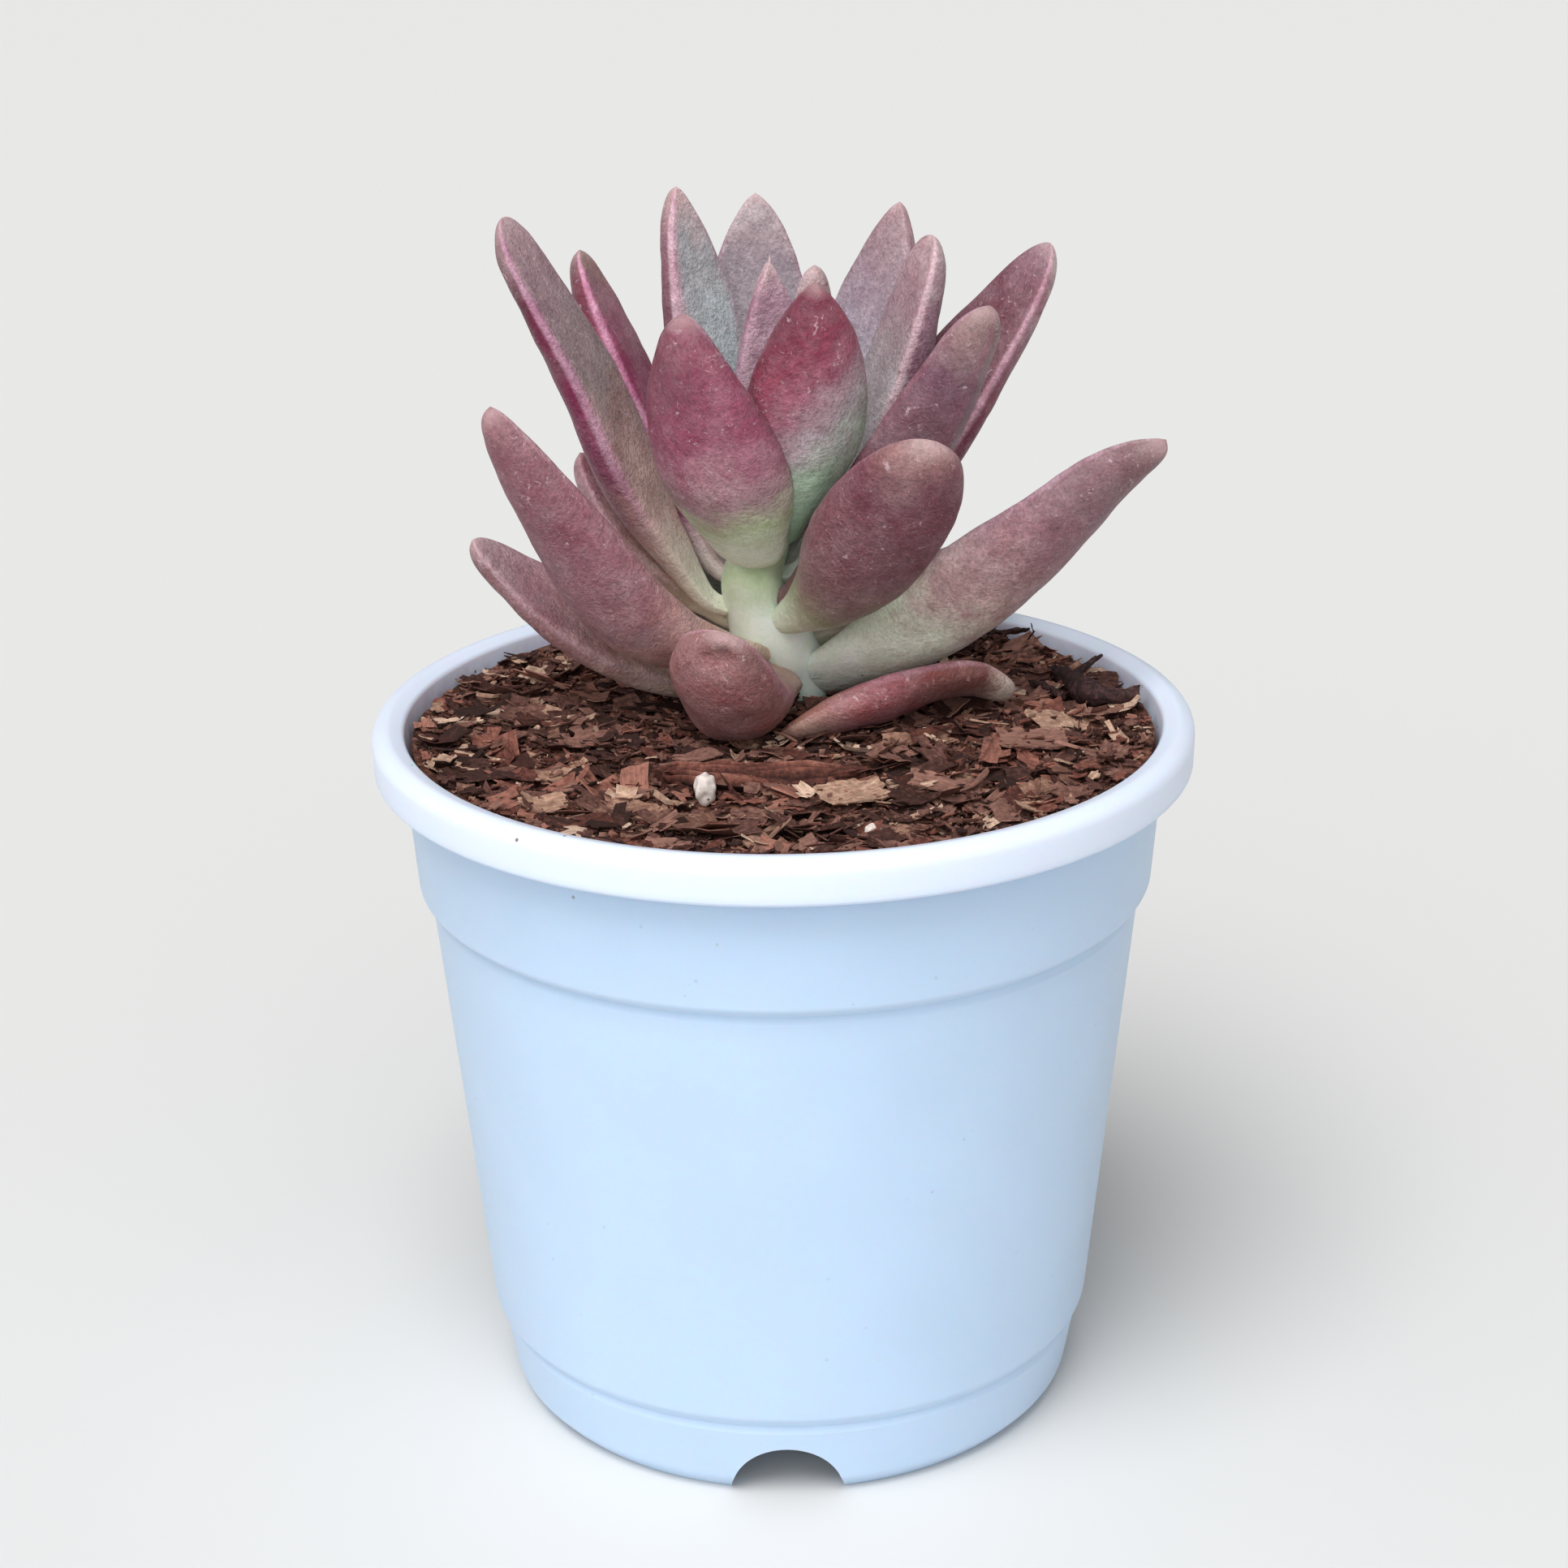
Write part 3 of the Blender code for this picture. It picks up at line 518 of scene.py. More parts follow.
@dataclass
class Pot:
    """The nursery pot: a turned shell with a rolled rim, drain notches and drain holes."""

    height: float = 93.4
    rim_radius: float = 52.5
    rim_lip: float = 5.9
    rim_inner: float = 48.4
    taper: float = 0.1
    base_radius: float = 38.9
    band_step: float = 1.3
    band_bottom: float = 71.2
    foot_top: float = 11.4
    foot_radius: float = 35.6
    ring_width: float = 2.0
    wall: float = 1.3
    floor_top: float = 11.4
    floor_thickness: float = 1.6
    notch_half_width: float = 7.2
    notch_height: float = 7.6
    notch_bearings: tuple[float, ...] = (-91.0, 29.0, 149.0)
    drain_radius: float = 3.0
    drain_circle: float = 24.0
    drain_count: int = 6
    steps: int = 144

    def outer(self, z: float) -> float:
        """Return the body cone's outer radius at a height."""
        return self.base_radius + self.taper * z

    def inner(self, z: float) -> float:
        """Return the inside wall's radius at a height."""
        step = self.band_step if z > self.band_bottom + 1.5 else 0.0
        return self.outer(z) + step - self.wall

    def outline(self) -> list[tuple[float, float]]:
        """Return the pot's section, from the floor's centre round to its underside."""
        lip = self.height - self.rim_lip
        skirt = self.rim_radius - 1.9
        floor = self.floor_top - self.floor_thickness
        band = self.band_bottom
        foot = self.foot_top
        corners = (
            (0.0, self.floor_top, 0),
            (self.inner(self.floor_top), self.floor_top, 1.5),
            (self.inner(band), band + 1.0, 1.0),
            (self.inner(band + 3.0), band + 2.8, 1.0),
            (self.inner(lip), lip, 0),
            (self.rim_inner, self.height - 0.7, 0.8),
            (self.rim_inner + 2.2, self.height, 1.5),
            (self.rim_radius, self.height - 0.9, 1.6),
            (self.rim_radius - 0.1, lip, 0.7),
            (skirt, lip, 0.4),
            (skirt, self.height - 2.4, 0.4),
            (self.outer(lip) + self.band_step + 0.3, self.height - 2.4, 0.4),
            (self.outer(lip) + self.band_step - 0.3, lip, 0),
            (self.outer(band) + self.band_step + 0.1, band + 1.0, 1.2),
            (self.outer(band) - 0.3, band - 0.3, 0.25),
            (self.outer(band - 1.5), band - 1.5, 0.6),
            (self.outer(foot + 1.2), foot + 1.2, 1.6),
            (self.outer(foot) - 1.2, foot - 0.3, 0.25),
            (self.outer(foot) - 1.0, foot - 1.4, 0.5),
            (self.foot_radius + 2.0, 2.2, 2.4),
            (self.foot_radius, 0.0, 0),
            (self.foot_radius - self.ring_width, 0.0, 0),
            (self.outer(floor) - 2.6, floor, 0.8),
            (0.0, floor, 0),
        )
        return rounded(corners)

    def cut(self, pot: bpy.types.Object, place: Matrix, half_width: float, height: float,
            depth: float) -> None:
        """Cut an elliptical bar out of the pot.

        Args:
            pot: The pot.
            place: Where the bar goes, its length along its own Z, in mm.
            half_width: The bar's half width, in mm.
            height: The bar's half height, in mm.
            depth: The bar's length, in mm.
        """
        deselect_all()
        bpy.ops.mesh.primitive_cylinder_add(vertices=64, radius=1.0, depth=1.0)
        bar = bpy.context.active_object
        bar.name = "cutter"
        bpy.ops.object.mode_set(mode="EDIT")
        bpy.ops.mesh.select_all(action="SELECT")
        bpy.ops.transform.resize(value=(height * MM, half_width * MM, depth * MM))
        bpy.ops.object.mode_set(mode="OBJECT")
        bar.data.transform(Matrix.Translation(place.translation * MM)
                           @ place.to_3x3().to_4x4())
        deselect_all()
        pot.select_set(True)
        bpy.context.view_layer.objects.active = pot
        bpy.ops.object.modifier_add(type="BOOLEAN")
        modifier = pot.modifiers[-1]
        modifier.object = bar
        modifier.operation = "DIFFERENCE"
        modifier.solver = "EXACT"
        bpy.ops.object.modifier_apply(modifier=modifier.name)
        bpy.data.objects.remove(bar, do_unlink=True)

    def build(self) -> None:
        """Model, dress and attach the pot."""
        pot = turned("nursery_pot", self.outline(), self.steps)
        lay = Matrix.Rotation(math.radians(90), 4, "Y")
        for bearing in self.notch_bearings:
            place = Matrix.Rotation(math.radians(bearing), 4, "Z")
            place = place @ Matrix.Translation((self.foot_radius, 0, 0)) @ lay
            self.cut(pot, place, self.notch_half_width, self.notch_height, 16.0)
        spots = [(0.0, 0.0, self.drain_radius + 1.0)]
        for index in range(self.drain_count):
            turn = 2 * math.pi * index / self.drain_count
            spots.append((self.drain_circle * math.cos(turn),
                          self.drain_circle * math.sin(turn), self.drain_radius))
        for x, y, radius in spots:
            self.cut(pot, Matrix.Translation((x, y, self.floor_top)), radius, radius, 8.0)
        bpy.ops.object.mode_set(mode="EDIT")
        bpy.ops.mesh.select_all(action="SELECT")
        bpy.ops.mesh.remove_doubles(threshold=WELD * MM)
        bpy.ops.mesh.dissolve_degenerate(threshold=WELD * MM)
        bpy.ops.object.mode_set(mode="OBJECT")
        finish_piece(pot, PotFinish().material(), ("pot",), sharp=32.0)


# ---- Rosette ----------------------------------------------------------------------------

@dataclass
class Blank:
    """A closed tube, extruded ring by ring, that leaves, stem and twigs are shaped from."""

    around: int = 40
    rings: int = 60

    def build(self) -> None:
        """Model the blank, and note where each vertex sits round it and along it."""
        deselect_all()
        bpy.ops.mesh.primitive_circle_add(vertices=self.around, radius=1.0)
        self.piece = bpy.context.active_object
        self.piece.name = "leaf_blank"
        bpy.ops.object.mode_set(mode="EDIT")
        bpy.ops.mesh.select_all(action="SELECT")
        step = {"value": (0.0, 0.0, 1.0 / self.rings)}
        for _ in range(self.rings):
            bpy.ops.mesh.extrude_region_move(TRANSFORM_OT_translate=step)
        bpy.ops.mesh.merge(type="CENTER")
        bpy.ops.object.mode_set(mode="OBJECT")
        heights = [v.co.z for v in self.piece.data.vertices]
        for vertex, height in zip(self.piece.data.vertices, heights):
            vertex.select = height < 0.5 / self.rings
        bpy.ops.object.mode_set(mode="EDIT")
        bpy.ops.mesh.extrude_region_move(TRANSFORM_OT_translate={"value": (0, 0, 0)})
        bpy.ops.mesh.merge(type="CENTER")
        bpy.ops.mesh.select_all(action="SELECT")
        bpy.ops.mesh.normals_make_consistent(inside=False)
        bpy.ops.object.mode_set(mode="OBJECT")
        mesh = self.piece.data
        place = read_points(self.piece) * MM
        self.turn = np.arctan2(place[:, 1], place[:, 0])
        self.along = place[:, 2]
        self.on_axis = np.hypot(place[:, 0], place[:, 1]) < 0.01
        uv = mesh.uv_layers.new(name=SKIN_UV)
        for face in mesh.polygons:
            turns = {i: self.turn[i] % (2 * math.pi) for i in face.vertices}
            rim = [turns[i] for i in face.vertices if not self.on_axis[i]]
            wraps = max(rim) - min(rim) > math.pi
            rim = [t + 2 * math.pi if wraps and t < math.pi else t for t in rim]
            for loop, i in zip(face.loop_indices, face.vertices):
                t = turns[i] + (2 * math.pi if wraps and turns[i] < math.pi else 0.0)
                t = sum(rim) / len(rim) if self.on_axis[i] else t
                uv.data[loop].uv = (t / (2 * math.pi), self.along[i])

    def copy(self, name: str) -> bpy.types.Object:
        """Return a copy of the blank with its own mesh."""
        piece = self.piece.copy()
        piece.data = self.piece.data.copy()
        piece.name = name
        bpy.context.collection.objects.link(piece)
        return piece

    def discard(self) -> None:
        """Remove the blank once everything is shaped."""
        bpy.data.objects.remove(self.piece, do_unlink=True)


@dataclass
class Stem:
    """The leaning stem: thickest near its foot, faintly ringed, thin inside the crown."""

    knuckle: float = 0.15      # how far its faint rings stand out
    foot: tuple[float, float, float] = (97.0, 6.0, 1.0)  # its swelling: height, reach, depth
    line: tuple = (            # (x, y, height, radius) from the soil to the crown
        (2.0, 15.4, 77.6, 2.6),
        (2.0, 14.8, 86.0, 3.4),
        (1.4, 14.0, 93.0, 4.1),
        (-1.6, 11.8, 100.0, 4.6),
        (-3.6, 10.0, 107.0, 4.0),
        (-2.2, 10.0, 115.0, 3.6),
        (0.5, 11.0, 124.0, 2.2),
        (1.5, 12.0, 131.0, 0.9),
    )

    def at(self, z: float) -> tuple[Vector, float]:
        """Return the stem's centre and radius at a height, along a smooth curve."""
        heights = [p[2] for p in self.line]
        z = min(max(z, heights[0]), heights[-1])
        k = max(i for i in range(len(heights) - 1) if heights[i] <= z)
        span = heights[k + 1] - heights[k]
        t = (z - heights[k]) / span
        before = self.line[max(k - 1, 0)]
        after = self.line[min(k + 2, len(self.line) - 1)]
        a, b = self.line[k], self.line[k + 1]
        values = []
        for axis in (0, 1, 3):
            slope_a = (b[axis] - before[axis]) / (b[2] - before[2]) * span
            slope_b = (after[axis] - a[axis]) / (after[2] - a[2]) * span
            values.append(a[axis] * (2 * t**3 - 3 * t**2 + 1)
                          + b[axis] * (3 * t**2 - 2 * t**3)
                          + slope_a * (t**3 - 2 * t**2 + t) + slope_b * (t**3 - t**2))
        return Vector((values[0], values[1], z)), values[2]

    def build(self, blank: Blank) -> bpy.types.Object:
        """Shape the stem from a blank."""
        piece = blank.copy("stem_body")
        low, high = self.line[0][2], self.line[-1][2]
        middle, size, depth = self.foot
        points = np.empty((len(blank.along), 3))
        for i, (turn, along) in enumerate(zip(blank.turn, blank.along)):
            centre, radius = self.at(low + (high - low) * along)
            wave = math.sin(centre.z * 0.9 + 1.5 * math.sin(turn + centre.z * 0.3))
            swelling = depth * math.exp(-((centre.z - middle) / size) ** 2)
            reach = 0.0 if blank.on_axis[i] else radius + self.knuckle * wave + swelling
            points[i] = centre + Vector((math.cos(turn), math.sin(turn), 0)) * reach
        points += 0.12 * lumps(points, 5.0, 3.0)[:, None]
        write_points(piece, points)
        return piece


@dataclass
class Leaf:
    """One fleshy leaf, where it grows from and how it bends."""

    node: str                  # the CAD node that it stands for
    slot: str                  # the record's material slot
    skin: LeafSkin
    height: float              # height of its root on the stem
    bearing: float             # degrees from +X towards +Y
    swerve: float              # turn of the bearing along the leaf, degrees
    rise: float                # slope above level at the root, degrees
    lift: float                # slope gained towards the tip, degrees
    length: float
    width: float
    thickness: float
    roll: float                # turn of the blade about its own line, degrees
    twist: float = 0.0         # roll gained towards the tip, degrees
    belly: float = 0.55        # where it is widest, from root to tip
    neck: float = 0.30         # root width, as a fraction of the greatest width
    narrow: float = 0.74       # share of the width lost by the tip, before it rounds off
    curve: float = 1.6         # how late along the leaf it narrows
    cap: float = 12.0          # how short the rounded end is
    keel: float = 0.06         # how far the keel stands out, as a share of the thickness
    dish: float = 0.06         # how far the upper face is hollowed, likewise
    point: float = 0.15        # length of the little point at the tip
    sways: tuple = ()          # (place along, reach, sideways, upwards) bends, mm
    dents: tuple = ()          # (place along, degrees round, reach, depth) each
    root: tuple | None = None  # where it lies, for a leaf that isn't on the stem
    stand_off: float = 1.15    # gap between the stem's skin and the centre of the root
    depth: float = 2.5         # how far below its root it starts inside the stem
    crowding: float = 1.45     # how much closer its rings stand towards the tip
    slim: float = 0.45         # width of its hidden end, as a share of the root's
    above: float = 0.26        # share of the thickness over the leaf's line
    below: float = 0.68        # and under it
    uneven: tuple = ((7.0, 0.26, 0.0), (2.4, 0.10, 5.0))  # (grain, height, seed) of its skin

    def heading(self, along: float) -> tuple[Vector, Vector, Vector]:
        """Return the leaf's direction, upper normal and side at a place along it."""
        slope = math.radians(self.rise + self.lift * along)
        bearing = math.radians(self.bearing + self.swerve * along)
        flat = Vector((math.cos(bearing), math.sin(bearing), 0))
        direction = flat * math.cos(slope) + UP * math.sin(slope)
        normal = flat * -math.sin(slope) + UP * math.cos(slope)
        side = direction.cross(normal)
        roll = math.radians(self.roll + self.twist * along)
        rolled = normal * math.cos(roll) + side * math.sin(roll)
        return direction, rolled, side * math.cos(roll) - normal * math.sin(roll)

    def half_width(self, along: float) -> float:
        """Return half the leaf's width at a place along it."""
        if along < self.belly:
            swell = math.sin(max(along, 0.0) / self.belly * math.pi / 2) ** 1.3
            return (self.neck + (1 - self.neck) * swell) * self.width / 2
        rest = min((along - self.belly) / (1 - self.belly), 1.0)
        taper = 1 - self.narrow * rest**self.curve
        return taper * math.sqrt(1 - rest**self.cap) * self.width / 2

    def thick(self, along: float) -> float:
        """Return the leaf's thickness at a place along it."""
        thickest = 0.4
        if along < thickest:
            swell = math.sin(max(along, 0.0) / thickest * math.pi / 2)
            return (0.42 + 0.58 * swell) * self.thickness
        rest = min((along - thickest) / (1 - thickest), 1.0)
        return (1 - 0.5 * rest) * math.sqrt(1 - rest**self.cap) * self.thickness

    def base(self, stem: Stem) -> tuple[Vector, Vector]:
        """Return the centre of the leaf's root, and a point inside the stem behind it."""
        if self.root is not None:
            root = Vector(self.root)
            return root, root - self.heading(0.0)[0] * 1.5
        centre, radius = stem.at(self.height)
        direction, normal, _ = self.heading(0.0)
        outward = Vector((direction.x, direction.y, 0)).normalized()
        reach = self.thick(0.0) * 0.72 * abs(normal.dot(outward))
        buried, _ = stem.at(self.height - self.depth)
        return (centre + outward * (radius + self.stand_off + reach),
                buried + outward * radius * 0.35)

    def swayed(self, along: float, centre: Vector) -> Vector:
        """Return where the leaf's bends move a point of its line to."""
        _, normal, side = self.heading(along)
        for place, reach, sideways, upwards in self.sways:
            swing = math.exp(-((along - place) / reach) ** 2)
            centre = centre + (side * sideways + normal * upwards) * swing
        return centre

    def spine(self, stem: Stem, rings: int) -> list[tuple]:
        """Return (place along, centre, direction, normal, side) for each ring of the blank."""
        root, buried = self.base(stem)
        line = [root]
        root = self.swayed(0.0, root)
        for step in range(SPINE_STEPS):
            ahead = self.heading((step + 0.5) / SPINE_STEPS)[0]
            line.append(line[-1] + ahead * (self.length / SPINE_STEPS))
        tuck = rings // TUCKED
        first, normal, _ = self.heading(0.0)
        bend = root - first * (root - buried).length * 0.55
        spots = []
        for ring in range(rings + 1):
            if ring < tuck:
                t = ring / tuck
                centre = buried.lerp(bend, t).lerp(bend.lerp(root, t), t)
                ahead = (bend.lerp(root, t) - buried.lerp(bend, t)).normalized()
                up = (normal - ahead * normal.dot(ahead)).normalized()
                spots.append((0.0, centre, ahead, up, ahead.cross(up)))
                continue
            share = (ring - tuck) / (rings - tuck)
            along = 1 - (1 - share) ** self.crowding
            exact = along * SPINE_STEPS
            k = min(int(exact), SPINE_STEPS - 1)
            centre = line[k].lerp(line[k + 1], exact - k)
            spots.append((along, self.swayed(along, centre), *self.heading(along)))
        return spots

    def build(self, blank: Blank, stem: Stem) -> bpy.types.Object:
        """Shape the leaf from a blank."""
        piece = blank.copy(self.node + "_blade")
        spots = self.spine(stem, blank.rings)
        points = np.empty((len(blank.along), 3))
        out = np.empty((len(blank.along), 3))
        places = np.empty(len(blank.along))
        for i, (turn, share) in enumerate(zip(blank.turn, blank.along)):
            ring = round(share * blank.rings)
            along, centre, direction, normal, side = spots[ring]
            places[i] = along
            if blank.on_axis[i]:
                tip = direction * self.point if ring == blank.rings else Vector()
                points[i] = centre + tip
                out[i] = direction
                continue
            c, s = math.cos(turn), math.sin(turn)
            slim = self.slim + (1 - self.slim) * min(ring / (blank.rings // TUCKED), 1.0)
            half, thick = self.half_width(along) * slim, self.thick(along) * slim
            if s > 0:
                y = thick * (self.above * s**0.45 - self.dish * s**3)
            else:
                y = -thick * (self.below * (-s) ** 0.8 + self.keel * (-s) ** 9)
            points[i] = centre + side * (c * half) + normal * y
            out[i] = (side * c + normal * s).normalized()
        seed = float(sum(ord(letter) for letter in self.node) % 97)
        fade = smooth_step(places, 0.0, 0.2)
        for grain, height, shift in self.uneven:
            points += out * (height * fade * lumps(points, grain, seed + shift))[:, None]
        for where, degrees, reach, depth in self.dents:
            turn = math.radians(degrees)
            gap = np.abs(np.angle(np.exp(1j * (blank.turn - turn)))) * 3 + 60 * abs(
                places - where)
            eye = points[np.argmin(np.where(blank.on_axis, 1e9, gap))]
            far = np.linalg.norm(points - eye, axis=1)
            points -= out * (depth * np.exp(-(far / reach) ** 2))[:, None]
        write_points(piece, points)
        piece.data.flip_normals()
        uv = piece.data.uv_layers[SKIN_UV].data
        corner = corners(piece.data)
        flat = np.empty(len(corner) * 2, dtype=np.float32)
        uv.foreach_get("uv", flat)
        flat[1::2] = places[corner]
        uv.foreach_set("uv", flat)
        return piece


def skin(name: str, under: str, upper: str, **more: float) -> LeafSkin:
    """Make a leaf skin from two rows of colours.

    Args:
        name: The skin's name.
        under: The lower face's colours from root to tip, with spaces between them.
        upper: The same for the upper face.
        **more: The skin's other fields.

    Returns:
        The skin, with its colours spaced evenly.
    """
    rows = []
    for row in (under, upper):
        codes = row.split()
        places = [0.02 + 0.96 * i / (len(codes) - 1) for i in range(len(codes))]
        stops = list(zip(places, codes))
        rows.append((stops[0], stops[-1], *stops[1:-1]))
    return LeafSkin("leaf skin, " + name, rows[0], rows[1], **more)


GREY_BACK = skin("grey mauve of the back", "#BCC0AC #A89088 #967478 #94747A #A98C90",
                 "#C4CCBC #B8B8B2 #ACA4A4 #A48E94 #B5989C")
GREEN_BACK = skin("grey green of the back", "#BCC8B2 #B0B0A6 #A08E92 #967680 #B09296",
                  "#C8D4C8 #BCC8C4 #B0B4B4 #A2949C #BEA4A8")

SKINS = {
    "leaf_01": skin("grey mauve, low left", "#D8CCB4 #CCB0A4 #AE8684 #9A7276 #886468",
                    "#D8CCB4 #CDB4AA #B4908F #A47D85 #B0949A", margin="#B08E96"),
    "leaf_02": GREY_BACK,
    # its root end is pale mint painted nearly white: painted light, for the glow through the leaf in
    # the crown's shade
    "leaf_03": skin("long pink grey, right", "#F4FFF2 #ECF6E0 #BC9E9C #987178 #84626A #866A6B",
                    "#F4FFF2 #E8EEDA #B69E98 #98767C #9E7E8A #7C6C60",
                    margin="#C79CAE", margin_left=0.7, margin_right=0.3, glow=0.3),
    "leaf_04": GREY_BACK,
    "leaf_05": skin("mauve brown, front", "#A88C7E #94706A #A06C6A #A06E70 #88605E",
                    "#A88C7E #94706A #A06A6A #9A6A6C #8A5C5C"),
    "leaf_06": GREY_BACK,
    "leaf_07": skin("grey, behind the long one", "#C8C4B0 #A48C88 #8C6E74 #8A6A70 #94727A",
                    "#E8E0CE #C8A8A4 #CCB4B4 #BCA19F #AF8C8A"),
    "leaf_08": skin("mauve, left", "#D8C4B2 #CEA69A #9B7278 #8C5C66 #8A5A64 #8E666C",
                    "#D8C4B2 #C4A498 #94706E #885E66 #8A6068 #B08C90", margin="#A87C86"),
    "leaf_09": skin("tan grey, left of the stem", "#E0D8C6 #B8A294 #A08680 #98787A #A77F88",
                    "#E0D8C6 #DCCABE #D0B0AA #BC9498 #A97A82"),
    "leaf_10": GREEN_BACK,
    # its root end is pale mint painted nearly white: painted light, to make up for the shade of the
    # crown
    "leaf_11": skin("mauve, front right", "#ECFAE2 #A8AC8C #8C6E6C #7C565B #784C54 #744A54 #94706E",
                    "#F2F6E4 #AEB094 #8C6A6C #7C565B #845060 #8A5A68 #9A7478",
                    margin="#9C4A60", margin_left=0.65, margin_right=0.1, slant=0.05),
    # its root end is pale mint painted nearly white: painted light, to make up for the shade of the
    # crown
    "leaf_12": skin("maroon over green, front",
                    "#F0FFE8 #C4D2AC #A88A8C #9A6072 #8A465C #7E3E52 #8A5A66",
                    "#F0F6DC #B8BEA0 #A08482 #A07880 #8F4C5E #8A5866 #A8909A",
                    margin="#6B2A40", margin_left=0.4, margin_right=0.2, slant=0.03),
    "leaf_13": skin("maroon brown, right", "#B09496 #98646F #804A58 #804656 #8B5F6A #B39A9C",
                    "#A08E8C #7C5A5C #5E3C42 #66404A #744A54 #92707A",
                    margin="#CDA0B0", margin_left=0.8, margin_right=0.8, margin_width=0.4),
    # its root end is pale and painted lighter still: painted light, to make up for the shade of the
    # crown
    "leaf_14": skin("grey brown over maroon, left", "#E8E4D2 #C8A4A2 #8A4A62 #7C3450 #64303F #8F7074",
                    "#E6E4D2 #DCBCB4 #B0908C #928280 #988086 #B89AA0",
                    margin="#B4809A", margin_left=0.75, margin_right=0.6, margin_width=0.7),
    "leaf_15": skin("mauve with a pale tip, right", "#8C6A6C #845C64 #7A525C #7C5660 #745260 #90706F",
                    "#8C6A6C #845C64 #7A525C #745A5E #5E444A #A08890",
                    margin="#A86C80", margin_left=0.6, keel=0.25),
    "leaf_16": GREY_BACK,
    "leaf_17": GREEN_BACK,
    "leaf_18": skin("magenta under pinkish brown, left",
                    "#D8C8C4 #A05A78 #9C3C62 #8A3048 #7C4050 #7A585C",
                    "#B09A98 #98647A #90506C #983C60 #A06A7C #9F8179",
                    margin="#C98CA8", margin_left=0.85, margin_right=0.85, margin_width=0.6),
    "leaf_19": skin("pink over green, right", "#C0CCBC #A8A8A2 #A08A98 #94707E #987482 #B2A0A2",
                    "#C8D2C4 #C0C4BE #B8B0B4 #A69A9E #A4848E #B8989C",
                    margin="#D0AEB8", margin_left=0.8, margin_right=0.8, margin_width=0.5),
    "leaf_20": skin("lilac grey, back right", "#B8B0AC #8A666E #703A48 #6A2E3C #74384A #B08E94",
                    "#D0DCD2 #BEC8C6 #B0B0BA #A498A4 #967E88 #A98C91",
                    margin="#B08A9C", margin_right=0.1),
    "leaf_21": skin("blue grey with a pink margin", "#B8B0AC #9A7A84 #7C5664 #7A4C5A #8C6470 #B29395",
                    "#D8E6E6 #D4E2E2 #CEDCDC #C6D2D4 #B6B6BA #CCB0B0",
                    margin="#C9A2B0", margin_left=0.95, margin_right=0.6, margin_width=0.9),
    "leaf_22": skin("grey, back middle", "#C0B8B4 #A08890 #8A6872 #84626C #967880 #B09498",
                    "#CCD8D8 #BCC8C8 #ACACB2 #9C9298 #8C7E86 #B09EA0",
                    margin="#BC94A6", margin_width=0.6),
    "leaf_23": skin("maroon over green, middle",
                    "#B0DCB8 #B8DCC0 #B3CCB4 #A8989E #9A5C6E #873E50 #703444",
                    "#B0DCB8 #B8DCC0 #B3CCB4 #A89A9C #985F6C #844250 #7C4A54",
                    margin="#8E4A5E", margin_left=0.3, slant=0.16),
    "leaf_24": skin("pink, heart of the crown", "#C8CCC8 #C0B4BC #B89AAA #AC8898 #A67A88 #C8A8AC",
                    "#C8CCC8 #C4B4BE #C4A4B2 #C8A4B4 #BC94A6 #D0B4B8", margin="#B88CA0"),
    "leaf_25": skin("pale pink, heart of the crown", "#BCB8AC #BCA0A4 #BC98A0 #B8949A #B49A9C",
                    "#BCB8AC #BCA0A4 #BC98A0 #B8949A #B49A9C"),
    "fallen_leaf": skin("red mauve with a tan tip", "#B08C80 #A86E70 #92545A #84504C #7C5450 #D8C8B8",
                        "#8A5E50 #84504E #985C66 #926871 #907270 #D8C8B8", margin="#A87880"),
}


def leaf(node: str, slot: str, height: float, bearing: float, swerve: float, rise: float,
         lift: float, length: float, width: float, thickness: float, roll: float,
         **more) -> Leaf:
    """Return the leaf that stands for a CAD node, in its own skin."""
    return Leaf(node, slot, SKINS[node], height, bearing, swerve, rise, lift, length, width,
                thickness, roll, **more)


